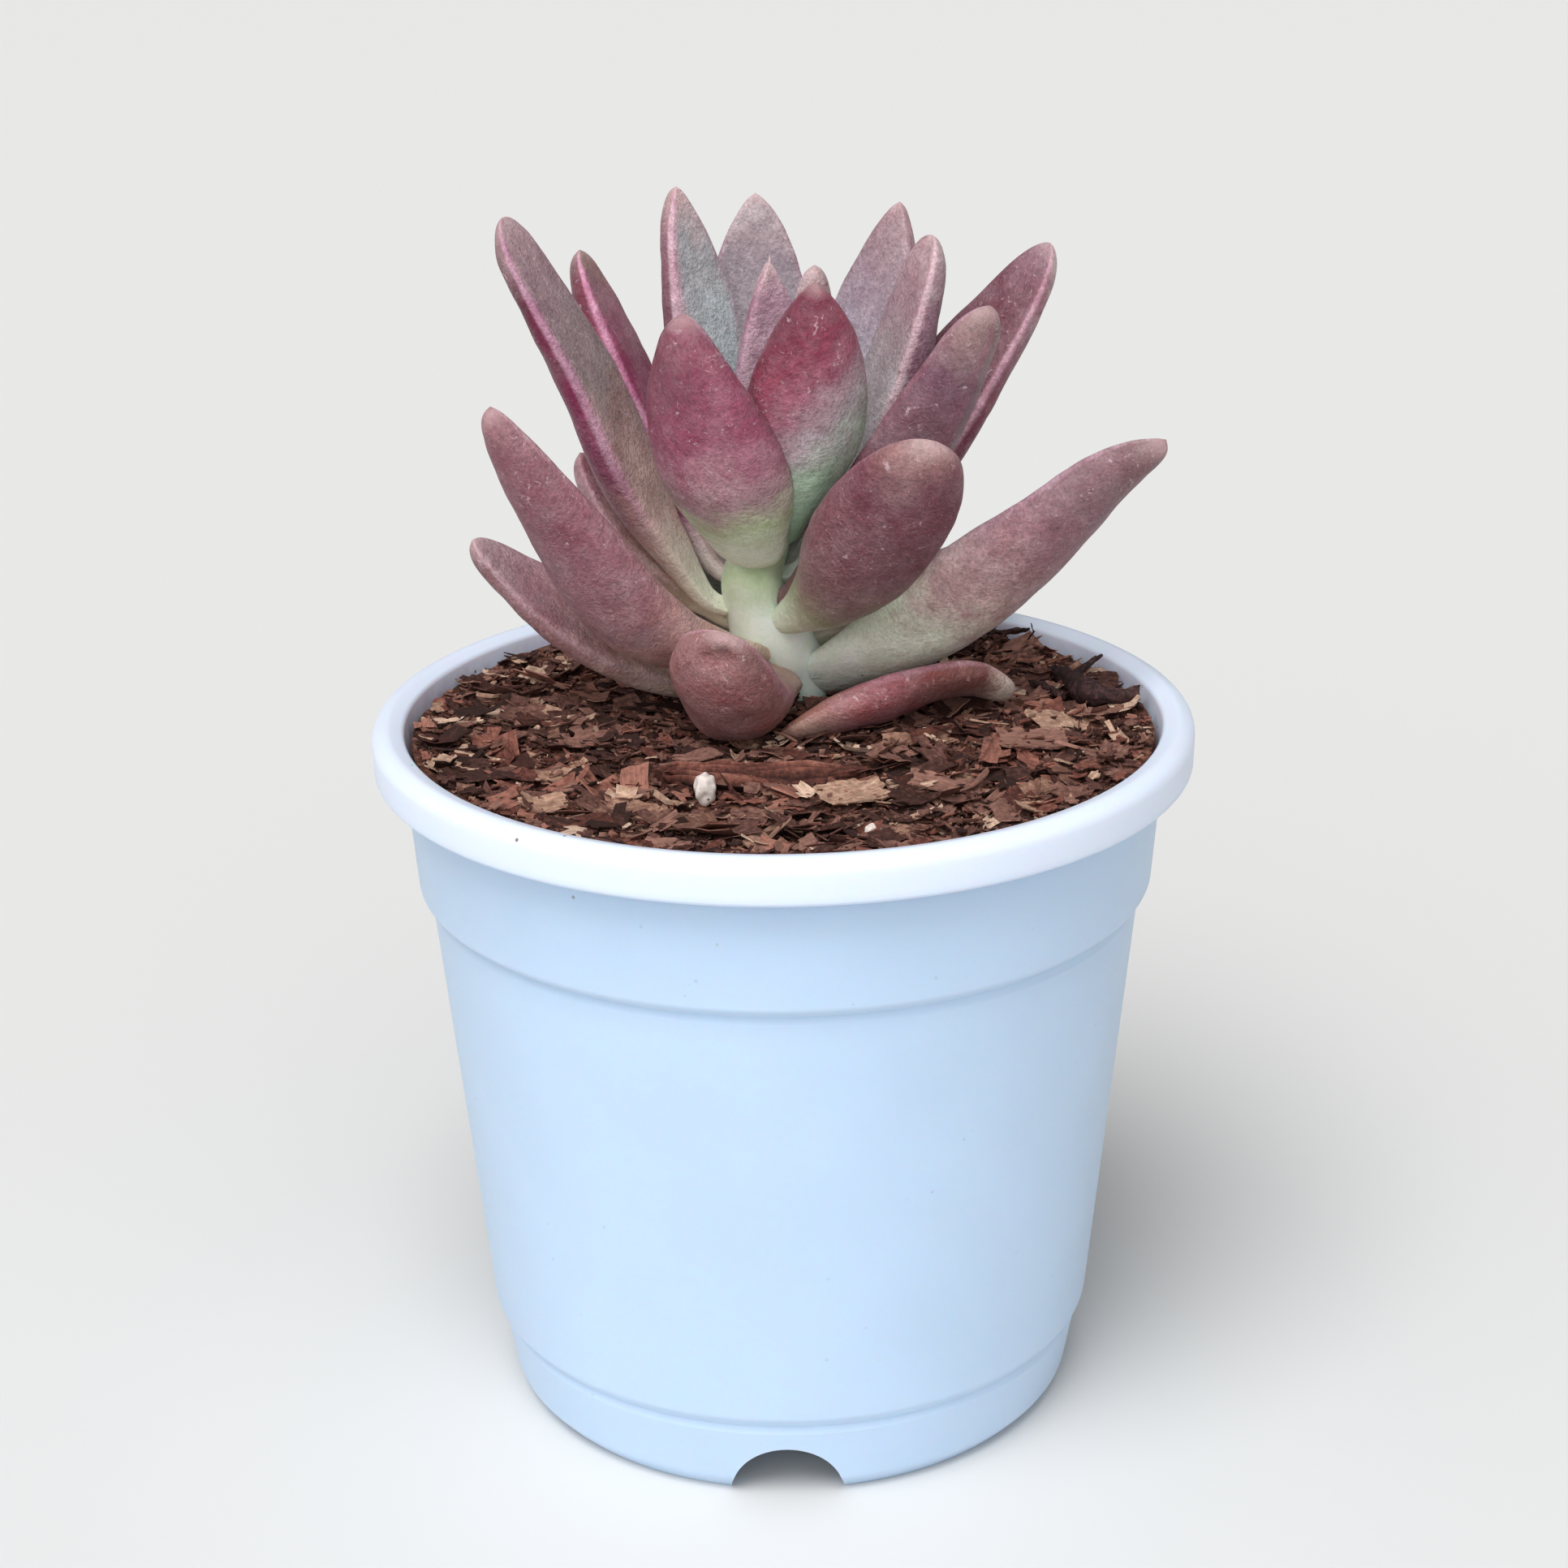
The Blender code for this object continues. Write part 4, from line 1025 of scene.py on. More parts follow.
LEAVES = (
    leaf("leaf_01", "leaf_grey_mauve", 92.0, 189, 8, 18, 28, 43.0, 13.0, 6.5, -28,
         neck=0.45, narrow=0.7),
    leaf("leaf_02", "leaf_grey_mauve", 93.5, 147, 0, 12, 28, 33.0, 12.0, 6, 0),
    leaf("leaf_03", "leaf_mauve", 94.5, -15, 4, 34, 8, 53.5, 16.0, 8.5, -42,
         belly=0.42, neck=0.72, narrow=0.72, curve=1.4,
         sways=((0.84, 0.18, 0.0, 1.7), (1.0, 0.06, 0.0, -0.9), (0.5, 0.2, 0.0, 0.7))),
    leaf("leaf_04", "leaf_grey_mauve", 95.0, 80, 0, 15, 35, 39.5, 15.0, 7, 0),
    leaf("leaf_05", "leaf_mauve", 96.4, -115, 30, -2, 58, 27.0, 15.4, 11.5, -24, belly=0.5,
         neck=0.75, narrow=0.2, cap=3.0, dents=(
             (0.93, 262, 1.5, 1.1), (0.9, 285, 1.2, 0.8), (0.72, 320, 2.0, 0.4),
             (0.5, 300, 3.5, 0.6), (0.3, 240, 3.0, 0.6), (0.6, 225, 2.0, 0.5))),
    leaf("leaf_06", "leaf_grey_mauve", 98.0, 122, 0, 20, 35, 44.0, 15.0, 7, 0),
    leaf("leaf_07", "leaf_grey_mauve", 98.0, 38, 0, 5, 15, 34.0, 13.0, 6, 0),
    leaf("leaf_08", "leaf_mauve", 99.0, -142, -16, 24, 46, 51.0, 15.0, 8, 18, belly=0.42,
         neck=0.72, narrow=0.68, sways=((0.72, 0.26, 0.0, 2.0), (0.25, 0.25, 0.0, -1.0))),
    leaf("leaf_09", "leaf_grey_mauve", 103.0, 159, 0, 38, 16, 26.5, 13.0, 6, 0),
    leaf("leaf_10", "leaf_grey_green", 104.0, 92, 0, 32, 28, 42.0, 14.0, 7, 0),
    leaf("leaf_11", "leaf_mauve", 105.0, -49, 0, 35, 20, 38.5, 16.2, 9, -38, belly=0.58,
         narrow=0.34, curve=1.6, cap=5.0, neck=0.34, sways=((0.1, 0.3, -1.4, 0.0),)),
    leaf("leaf_12", "leaf_maroon", 114.6, -103, -44, 59, 20, 33.4, 18.6, 9, 0, belly=0.46,
         neck=0.54, narrow=0.7, curve=1.9, sways=((1.0, 0.6, 2.4, 0.0),)),
    leaf("leaf_13", "leaf_mauve", 106.0, 8, 2, 50, 8, 54.0, 14.5, 8, 25, narrow=0.68,
         sways=((0.62, 0.25, 0.0, 1.2),)),
    leaf("leaf_14", "leaf_grey_mauve", 106.5, 186, 0, 60, 8, 54.5, 12.5, 6.5, -24, belly=0.45,
         narrow=0.32, curve=1.4, cap=10.0, sways=((0.6, 0.25, 0.0, 1.6),)),
    leaf("leaf_15", "leaf_mauve", 108.0, -26, 6, 50, 10, 45.5, 11.6, 8, -30, narrow=0.45,
         cap=9.0, sways=((0.95, 0.3, 0.0, 1.2),)),
    leaf("leaf_16", "leaf_grey_mauve", 107.0, 118, 0, 36, 25, 31.0, 10.0, 7, 0),
    leaf("leaf_17", "leaf_grey_green", 109.0, 60, 0, 42, 22, 40.0, 13.0, 7, 0),
    leaf("leaf_18", "leaf_maroon", 110.0, 142, 0, 56, 8, 43.0, 12.5, 8, 24, narrow=0.42,
         cap=8.0, sways=((0.6, 0.3, 1.0, 0.0),)),
    leaf("leaf_19", "leaf_pink", 111.0, -2, 6, 65, 6, 44.0, 12.0, 8, 16, narrow=0.4,
         cap=9.0, sways=((1.0, 0.4, 0.0, 1.1),)),
    leaf("leaf_20", "leaf_grey_green", 115.0, 45, 0, 55, 16, 42.5, 14.0, 7, 0, narrow=0.84,
         curve=1.8),
    leaf("leaf_21", "leaf_grey_green", 116.0, 142, 0, 76, 8, 41.5, 12.5, 7, 0, narrow=0.82,
         curve=1.8, belly=0.5, sways=((0.55, 0.32, 2.6, 0.0),)),
    leaf("leaf_22", "leaf_grey_green", 116.0, 92, 0, 57, 16, 41.0, 14.0, 7, 0, narrow=0.8,
         curve=1.9),
    leaf("leaf_23", "leaf_maroon", 117.0, -69, 0, 61, 22, 34.5, 16.0, 8, 0, belly=0.5,
         narrow=0.86, curve=2.0),
    leaf("leaf_24", "leaf_pink", 124.0, 117, 0, 88, 8, 24.0, 9.4, 5, 0, narrow=0.9,
         belly=0.4, point=1.2, sways=((0.6, 0.4, 1.0, 0.0),)),
    leaf("leaf_25", "leaf_pink", 124.0, -65, 0, 74, 10, 26.5, 7.0, 4, 0, narrow=0.6),
    leaf("fallen_leaf", "leaf_mauve", 92.0, 14, 12, 27, -40, 32.0, 12.5, 6.0, -26, neck=0.5,
         belly=0.5, narrow=0.7, curve=1.5, point=1.4, root=(0.8, -1.8, 91.2),
         sways=((1.0, 0.14, 0.0, -2.4),)),
)


@dataclass
class Rosette:
    """The plant: its stem, every leaf on it, and the one that has dropped."""

    leaves: tuple[Leaf, ...] = LEAVES

    def build(self, blank: Blank) -> None:
        """Shape, dress and attach the stem and the leaves."""
        stem = Stem()
        body = stem.build(blank)
        finish_piece(body, self.stem_skin().material(), ("stem",), sharp=80.0)
        for blade in self.leaves:
            piece = blade.build(blank, stem)
            finish_piece(piece, blade.skin.material(), (blade.node,), sharp=80.0)

    @staticmethod
    def stem_skin() -> LeafSkin:
        """Return the stem's skin: smooth, pale mint painted nearly white low down as painted light
        through it, yellower where the leaves join it.
        """
        # the lower stops are pale mint pushed nearly to white: painted light, for the glow through
        # the stem in the crown's shade
        mint_and_painted_glow = "#E8FFEC #ECFFEE #F2FFF2 #F2FFF0 #DCF0CC #A8BC98 #98A094 #A08490"
        return skin("pale mint of the stem", mint_and_painted_glow, mint_and_painted_glow, margin_left=0.0,
                    margin_right=0.0, bloom=0.0, flecks=0.1, pores=0.1, relief=0.12,
                    uneven=0.2, glow=0.4, tip=0.0)


# ---- Soil and litter --------------------------------------------------------------------

@dataclass
class Soil:
    """The plug of compost, its top heaped towards the wall and pitted in places."""

    top: float = SOIL_TOP
    bottom: float = 11.75
    edge: float = 47.4
    heap: tuple[float, float, float] = (36.0, 11.0, 0.8)  # where it starts, its width, height
    clod: float = 5.5          # size of the clods
    rough: float = 0.85        # how far they stand out
    spare: float = 0.25        # how far all of it stands above the plug
    pits: tuple = ((-33.5, -8.0, 2.6, 2.0), (10.0, -16.5, 5.0, 1.3), (-6.0, -5.0, 6.0, 0.8),
                   (-2.0, -33.0, 5.0, 0.8), (22.0, 2.0, 4.0, 0.8))

    def height(self, x: float, y: float) -> float:
        """Return the soil's height at a place."""
        reach = math.hypot(x, y)
        start, width, height = self.heap
        slope = min(max((reach - start) / width, 0.0), 1.0) ** 2
        rough = noise.fractal(Vector((x, y, 0.0)) / self.clod, 1.0, 2.0, 4) * self.rough
        z = self.top + self.spare + height * slope + rough
        for px, py, size, depth in self.pits:
            far = math.hypot(x - px, y - py)
            z -= depth * math.exp(-(far / size) ** 2)
        return z

    def build(self) -> None:
        """Model, dress and attach the soil."""
        rows = 64
        outline = [(self.edge * i / rows, self.top) for i in range(rows + 1)]
        outline += [(47.3, 84.0), (46.4, 74.6), (44.7, 71.6), (42.0, 40.0), (39.2, 14.0),
                    (37.0, self.bottom), (0.0, self.bottom)]
        soil = turned("soil_plug", outline, 168)
        points = read_points(soil)
        for i, (x, y, z) in enumerate(points):
            if z > self.top - 0.01:
                points[i, 2] = self.height(x, y)
        write_points(soil, points)
        finish_piece(soil, CompostFinish().material(), ("soil",), sharp=60.0)


@dataclass
class FlakeShape:
    """Ragged flakes, modelled once, that the litter is copied from."""

    count: int = 10
    columns: int = 4
    rows: int = 3
    crumple: float = 0.07
    torn: float = 0.3          # share of the edge that is torn away
    seed: int = 1

    def build(self) -> list[tuple[np.ndarray, list]]:
        """Return each flake's points, one unit long and wide, and its faces."""
        shapes = []
        for turn in range(self.count):
            draw = np.random.RandomState(self.seed * 100 + turn)
            deselect_all()
            bpy.ops.mesh.primitive_grid_add(x_subdivisions=self.columns,
                                            y_subdivisions=self.rows, size=1.0)
            flake = bpy.context.active_object
            flake.data.vertices.foreach_set("select", [False] * len(flake.data.vertices))
            flake.data.edges.foreach_set("select", [False] * len(flake.data.edges))
            edge_x, edge_y = 0.5 - 0.7 / self.columns, 0.5 - 0.7 / self.rows
            for face in flake.data.polygons:
                x, y, _ = face.center
                corner = abs(x) > edge_x and abs(y) > edge_y
                rim = abs(x) > edge_x or abs(y) > edge_y
                chance = draw.uniform(0.0, 1.0)
                face.select = chance < self.torn * (2.2 if corner else 0.5 if rim else 0.0)
            bpy.context.tool_settings.mesh_select_mode = (False, False, True)
            bpy.ops.object.mode_set(mode="EDIT")
            bpy.ops.mesh.delete(type="FACE")
            bpy.ops.mesh.select_mode(type="VERT")
            bpy.ops.mesh.select_all(action="SELECT")
            bpy.ops.transform.vertex_random(offset=self.crumple * 4 / self.columns,
                                            uniform=1.0, normal=0.0,
                                            seed=self.seed * 50 + turn)
            bpy.ops.object.mode_set(mode="OBJECT")
            bpy.ops.object.modifier_add(type="SOLIDIFY")
            flake.modifiers[-1].thickness = 0.2
            bpy.ops.object.modifier_apply(modifier=flake.modifiers[-1].name)
            shapes.append((read_points(flake) * MM,
                           [tuple(face.vertices) for face in flake.data.polygons]))
            bpy.data.objects.remove(flake, do_unlink=True)
        return shapes


def flake_mesh(name: str, flakes: list[tuple]) -> bpy.types.Object:
    """Join flakes into one piece.

    Args:
        name: The piece's name.
        flakes: (points in mm, faces, flat coordinates in mm, tone) for each flake.

    Returns:
        The new piece, with each flake's flat coordinates and tone on its mesh.
    """
    points, faces, flat, tones = [], [], [], []
    start = 0
    for place, shape, local, tone in flakes:
        points.append(place)
        faces.extend([tuple(start + i for i in face) for face in shape])
        flat.append(local)
        tones.append(np.full(len(place), tone))
        start += len(place)
    mesh = bpy.data.meshes.new(name)
    mesh.from_pydata((np.vstack(points) * MM).tolist(), [], faces)
    mark_bark(mesh, np.vstack(flat), np.concatenate(tones))
    piece = bpy.data.objects.new(name, mesh)
    bpy.context.collection.objects.link(piece)
    return piece


class Bark(Enum):
    """The kinds of bark in the mix, each with its record slot and its tones."""

    BROWN = ("bark_brown", "#301D19 #4A2E28 #694840 #8A6458")
    RED = ("bark_red", "#3E231E #5E362E #7E4E42 #98685A")
    TAN = ("bark_tan", "#6E4C40 #94705F #B08E79 #CDAF9A")

    def finish(self) -> BarkFinish:
        """Return this bark's finish."""
        codes = self.value[1].split()
        stops = [(0.1 + 0.27 * i, code) for i, code in enumerate(codes)]
        return BarkFinish("pine bark, torn, " + self.name.lower(),
                          (stops[0], stops[-1], *stops[1:-1]))


@dataclass
class Litter:
    """One named piece on the soil: centre, bearing in degrees, size and tilt."""

    node: str
    kind: Bark
    x: float
    y: float
    bearing: float
    length: float
    width: float
    thickness: float
    tilt: float
    tone: float = 0.5


STRIP = Litter("bark_strip", Bark.RED, -3.0, -17.0, 4, 23.0, 8.2, 1.6, 2, 0.26)
CHIPS = (
    (Bark.TAN, 36.5, -1.0, 30, 8.6, 5.6, 0.9, 9, 0.55),
    (Bark.TAN, 8.5, -26.0, 35, 7.5, 5.0, 0.9, 4, 0.6),
    (Bark.TAN, -40.5, -12.5, 60, 7.5, 5.0, 0.9, 4, 0.7),
    (Bark.TAN, -29.0, -27.0, 10, 5.0, 3.4, 0.9, 4, 0.5),
    (Bark.TAN, -18.5, -29.5, -20, 7.0, 4.0, 0.9, 3, 0.3),
    (Bark.TAN, -27.0, -17.0, 30, 6.5, 2.2, 0.9, 5, 0.5),
    (Bark.BROWN, -24.0, -5.0, 25, 7.0, 3.0, 0.9, 4, 0.8),
    (Bark.BROWN, -33.5, 6.0, 15, 6.0, 3.6, 0.9, 4, 0.7),
    (Bark.BROWN, 20.0, -23.0, -15, 8.0, 3.6, 0.9, 4, 0.9),
    (Bark.BROWN, 31.5, -8.0, 10, 7.5, 4.4, 0.9, 4, 0.9),
    (Bark.TAN, 30.5, -25.0, 40, 6.0, 2.8, 0.9, 4, 0.3),
    (Bark.BROWN, 41.0, -13.0, 70, 5.5, 3.0, 0.9, 4, 0.8),
    (Bark.TAN, 17.0, -6.0, 12, 8.0, 2.6, 0.9, 3, 0.3),
    (Bark.BROWN, 2.0, 40.5, 10, 8.0, 4.0, 1.0, 4, 0.6),
    (Bark.TAN, -20.0, 38.0, -35, 6.5, 4.0, 1.0, 4, 0.5),
)
LITTER = (
    *(Litter(f"bark_chip_{number:02d}", *row) for number, row in enumerate(CHIPS, 1)),
    Litter("splinter", Bark.TAN, -42.5, 2.0, 12, 7.0, 1.1, 0.8, 3, 0.9),
)


@dataclass
class LitterBed:
    """The bark on the soil: the large named pieces, and a bed of small flakes and crumbs."""

    soil: Soil
    reach: float = 46.6
    flakes: int = 2100
    crumbs: int = 5200
    fibres: int = 170
    brown: float = 0.62        # share of the small pieces that is brown
    red: float = 0.25          # and share that is red; the rest is tan

    def place(self, points: np.ndarray, size: tuple, bearing: float, tilt: tuple,
              curl: float, centre: tuple) -> np.ndarray:
        """Size, curl, tilt, turn and place one flake.

        Args:
            points: The flake's unit points.
            size: Length, width and thickness, in mm.
            bearing: Turn about Z, in degrees.
            tilt: Tilt about its length and its width, in degrees.
            curl: How far its ends lift, in mm.
            centre: Where its middle goes.

        Returns:
            The placed points, in mm.
        """
        shaped = points * np.array([size[0], size[1], 1.0])
        shaped[:, 2] = (points[:, 2] * (size[2] * 5)
                        + curl * ((points[:, 0] * 2) ** 2 + (points[:, 1] * 2) ** 2)
                        + 0.4 * curl * np.sin(points[:, 0] * 7 + size[0]))
        turn = turn_about(bearing, "Z") @ turn_about(tilt[0], "X") @ turn_about(tilt[1], "Y")
        return shaped @ np.array(turn).T + np.array(centre)

    def build(self) -> None:
        """Model, dress and attach all the litter."""
        finishes = {kind: kind.finish().material() for kind in Bark}
        large = FlakeShape(17, 14, 9, 0.13, 0.3, 3).build()
        for index, item in enumerate(LITTER):
            points, faces = large[index % len(large)]
            centre = (item.x, item.y, self.soil.height(item.x, item.y) + 0.9)
            placed = self.place(points, (item.length * 1.12, item.width * 1.12,
                                         item.thickness * 0.35), item.bearing,
                                (item.tilt * 2.0, item.tilt), 0.5, centre)
            local = points[:, :2] * (item.length, item.width) + index * 7.0
            piece = flake_mesh(item.node + "_flake", [(placed, faces, local, item.tone)])
            finish_piece(piece, finishes[item.kind], (item.node,))
        BarkStrip(STRIP).build(self.soil, finishes[Bark.RED])
        self.scatter(finishes)

    def scatter(self, finishes: dict) -> None:
        """Strew small flakes, crumbs and fibres over the soil.

        Args:
            finishes: Each bark's material.
        """
        small = FlakeShape().build()
        bits = FlakeShape(6, 2, 2, 0.09, 0.2, 2).build()
        draw = np.random.RandomState(11)
        beds = {kind: [] for kind in Bark}
        for index in range(self.crumbs + self.flakes + self.fibres):
            crumb = index < self.crumbs
            fibre = index >= self.crumbs + self.flakes
            reach = self.reach * math.sqrt(draw.uniform(0.0, 1.0))
            turn = draw.uniform(0.0, 2 * math.pi)
            x, y = reach * math.cos(turn), reach * math.sin(turn)
            if not crumb and abs(x - STRIP.x) < 9 and abs(y - STRIP.y) < 2.6:
                continue
            if crumb:
                long, wide = draw.uniform(0.5, 1.7), draw.uniform(0.35, 0.9)
                thick, lift, lean = draw.uniform(0.10, 0.5), draw.uniform(0.0, 0.5), 30.0
            elif fibre:
                long, wide = draw.uniform(2.5, 6.5), draw.uniform(0.12, 0.3)
                thick, lift, lean = 0.12, draw.uniform(0.5, 1.6), 16.0
            else:
                long = float(np.clip(draw.lognormal(1.22, 0.55), 1.3, 9.0))
                wide = long * draw.uniform(0.22, 0.7)
                thick, lift = draw.uniform(0.08, 0.22), draw.uniform(0.1, 1.2)
                lean = 17.0
            room = self.reach + 0.7 - reach
            long = min(long, max(2 * room, 0.7))
            wide = min(wide, max(2 * room, 0.5))
            bearing = draw.normal(8.0, 50.0)
            tilt = (draw.normal(0.0, lean), draw.normal(0.0, lean * 0.7))
            shapes = bits if crumb or fibre else small
            shape = shapes[draw.randint(len(shapes))]
            chance = draw.uniform(0.0, 1.0)
            kind = (Bark.BROWN if chance < self.brown
                    else Bark.RED if chance < self.brown + self.red else Bark.TAN)
            centre = (x, y, self.soil.height(x, y) + lift)
            placed = self.place(shape[0], (long, wide, thick), bearing, tilt,
                                draw.uniform(-0.08, 0.16) * long * 0.6, centre)
            local = shape[0][:, :2] * (long, wide) + draw.uniform(0, 90, 2)
            beds[kind].append((placed, shape[1], local, draw.uniform(0.0, 1.0)))
        for kind, flakes in beds.items():
            piece = flake_mesh("flakes_" + kind.name.lower(), flakes)
            finish_piece(piece, finishes[kind], sharp=30.0)


@dataclass
class BarkStrip:
    """The large reddish strip of bark in front, split along its grain."""

    item: Litter
    columns: int = 60
    rows: int = 22

    def build(self, soil: Soil, material: bpy.types.Material) -> None:
        """Model, dress and attach the strip.

        Args:
            soil: What it lies on.
            material: Its material.
        """
        deselect_all()
        bpy.ops.mesh.primitive_grid_add(x_subdivisions=self.columns,
                                        y_subdivisions=self.rows, size=1.0)
        piece = bpy.context.active_object
        piece.name = self.item.node + "_wood"
        bpy.ops.object.mode_set(mode="EDIT")
        bpy.ops.mesh.select_all(action="SELECT")
        bpy.ops.mesh.extrude_region_move(TRANSFORM_OT_translate={"value": (0, 0, -1.0)})
        bpy.ops.mesh.select_all(action="SELECT")
        bpy.ops.mesh.normals_make_consistent(inside=False)
        bpy.ops.object.mode_set(mode="OBJECT")
        unit = read_points(piece) * MM
        top = unit[:, 2] > -0.5
        length, width = self.item.length, self.item.width
        points = unit * (length, width, self.item.thickness)
        split = np.array([noise.noise(Vector((x * 0.10, y * 1.9, 5.0)))
                          for x, y, _ in points])
        ragged = np.array([noise.noise(Vector((y * 1.5, 9.0, 0.0))) for _, y, _ in points])
        points[:, 0] += ragged * 4.5 * np.abs(unit[:, 0]) * 2
        points[:, 1] *= 0.45 + 0.55 * np.sqrt(1 - np.abs(2 * unit[:, 0]) ** 2.5)
        points[:, 1] += np.array([noise.noise(Vector((x * 0.35, 3.0, 0.0)))
                                  for x, _, _ in points]) * np.abs(unit[:, 1]) * 3.2
        crown = 1 - (2 * np.abs(unit[:, 1])) ** 2.5
        points[:, 2] = np.where(top, 0.2 + crown * 0.9 + split * 1.3, -0.9)
        turn = np.array(turn_about(self.item.bearing, "Z") @ turn_about(self.item.tilt, "Y"))
        flat = points[:, :2].copy()
        points = points @ turn.T + (self.item.x, self.item.y, soil.top + 0.5)
        write_points(piece, points)
        mark_bark(piece.data, flat, self.item.tone + 0.9 * split)
        finish_piece(piece, material, (self.item.node,), sharp=35.0)


@dataclass(frozen=True)
class GrainFinish:
    """Pale mineral grain, crushed and tumbled: chalky, with fine pits."""

    name: str = "mineral grain, tumbled"
    colour: str = "#DDD2CB"

    def material(self) -> bpy.types.Material:
        """Return the grain as a material."""
        material, tree, shader = new_material(self.name, Roughness=0.7)
        place = add_node(tree, "TexCoord").outputs["Object"]
        pits = add_node(tree, "TexNoise", {"Vector": place, "Scale": per_mm(0.5), "Detail": 4.0})
        shade = add_node(tree, "MapRange", {0: pits, 1: 0.3, 2: 0.7, 3: 0.8, 4: 1.1})
        colour = add_node(tree, "HueSaturation", {"Value": shade, "Color": linear(self.colour)})
        dress(tree, shader, colour, pits, 0.5, 0.1)
        return material


@dataclass(frozen=True)
class TwigFinish:
    """Old root wood, weathered: nearly black, dull and rough."""

    name: str = "root wood, weathered"

    def material(self) -> bpy.types.Material:
        """Return the root wood as a material."""
        material, tree, shader = new_material(self.name, Roughness=0.8,
                                              Specular_IOR_Level=0.3)
        place = add_node(tree, "TexCoord").outputs["Object"]
        bark = add_node(tree, "TexNoise", {"Vector": place, "Scale": per_mm(0.8), "Detail": 4.0,
                        "Roughness": 0.7})
        colour = add_node(tree, "ValToRGB", {0: bark}, stops=((0.3, "#1C1014"), (0.75, "#5C3E3E"),
                          (0.5, "#33201F")))
        dress(tree, shader, colour, bark, 0.8, 0.2)
        return material


@dataclass
class Twig:
    """A crooked length of old root on the soil, thicker at its knots."""

    node: str
    line: tuple                # (x, y, height above the soil, radius) from end to end
    limb: str = "root"         # the root itself, or a name for a side root

    def build(self, blank: Blank, soil: Soil, material: bpy.types.Material) -> None:
        """Shape, dress and attach the twig.

        Args:
            blank: The tube it is shaped from.
            soil: What it lies on.
            material: Its material.
        """
        piece = blank.copy(self.node + "_" + self.limb)
        rows = np.array(self.line)
        points = np.empty((len(blank.along), 3))
        for i, (turn, along) in enumerate(zip(blank.turn, blank.along)):
            values = []
            for shift in (0.0, 0.02):
                spot = min(max(along + shift - 0.01, 0.0), 1.0) * (len(rows) - 1)
                values.append([np.interp(spot, range(len(rows)), rows[:, k])
                               for k in range(4)])
            x, y, rise, radius = values[0]
            ahead = Vector((values[1][0] - x, values[1][1] - y, 0.0)).normalized()
            side = ahead.cross(UP)
            reach = 0.0 if blank.on_axis[i] else radius
            centre = Vector((x, y, soil.top + 0.6 + rise))
            points[i] = centre + (side * math.cos(turn) + UP * math.sin(turn)) * reach
        middle = points.mean(axis=0)
        points += 0.26 * lumps(points, 1.3, middle[0])[:, None]
        points += 0.14 * lumps(points, 0.6, middle[1])[:, None]
        write_points(piece, points)
        piece.data.flip_normals()
        stands_for = (self.node,) if self.limb == "root" else ()
        finish_piece(piece, material, stands_for, sharp=50.0)


TWIGS = (
    Twig("twig_01", ((36.0, 20.5, 1.0, 0.6), (37.4, 17.0, 1.4, 1.1), (38.6, 13.2, 1.6, 1.4),
                     (39.4, 9.6, 1.8, 1.8), (40.6, 7.0, 2.0, 1.7), (42.4, 6.1, 2.1, 1.0),
                     (44.4, 5.8, 2.2, 0.75), (45.8, 5.9, 2.4, 0.95), (46.4, 5.9, 2.5, 0.9))),
    Twig("twig_01", ((38.0, 14.4, 1.6, 0.7), (39.8, 16.8, 2.2, 0.5), (41.4, 18.4, 2.8, 0.4),
                     (42.8, 19.4, 3.3, 0.2)), "side_root"),
    Twig("twig_01", ((36.8, 9.2, 1.0, 0.5), (34.6, 11.8, 1.5, 0.6), (32.8, 14.6, 1.2, 0.4)),
         "second_side_root"),
    Twig("twig_02", ((24.0, 36.6, 0.9, 0.3), (27.6, 35.4, 1.4, 0.55), (30.6, 34.6, 1.8, 0.4),
                     (33.0, 33.2, 2.4, 0.35), (34.0, 32.2, 2.8, 0.2))),
    Twig("twig_02", ((33.4, 30.2, 0.8, 0.3), (33.7, 29.6, 2.4, 0.2), (34.4, 29.0, 3.6, 0.16),
                     (33.8, 28.6, 4.8, 0.1)), "side_root"),
)


@dataclass
class Grain:
    """One pale mineral grain on the soil."""

    node: str
    x: float
    y: float
    size: tuple[float, float, float]
    bearing: float

    def build(self, soil: Soil, material: bpy.types.Material) -> None:
        """Model, dress and attach the grain.

        Args:
            soil: What it lies on.
            material: Its material.
        """
        deselect_all()
        bpy.ops.mesh.primitive_ico_sphere_add(subdivisions=4, radius=0.5)
        piece = bpy.context.active_object
        piece.name = self.node + "_pebble"
        points = read_points(piece) * MM
        points *= 1 + 0.34 * lumps(points * 3, 1.0, self.x)[:, None]
        turn = np.array(turn_about(self.bearing, "Z"))
        height = soil.height(self.x, self.y) + self.size[2] * 0.5
        points = (points * self.size) @ turn.T + (self.x, self.y, height)
        write_points(piece, points)
        finish_piece(piece, material, (self.node,), sharp=30.0)


GRAINS = (
    Grain("grain_01", -9.5, -25.5, (3.0, 2.4, 4.0), 40),
    Grain("grain_02", 10.5, -36.5, (2.1, 1.9, 1.7), 0),
)


# ---- Studio -----------------------------------------------------------------------------

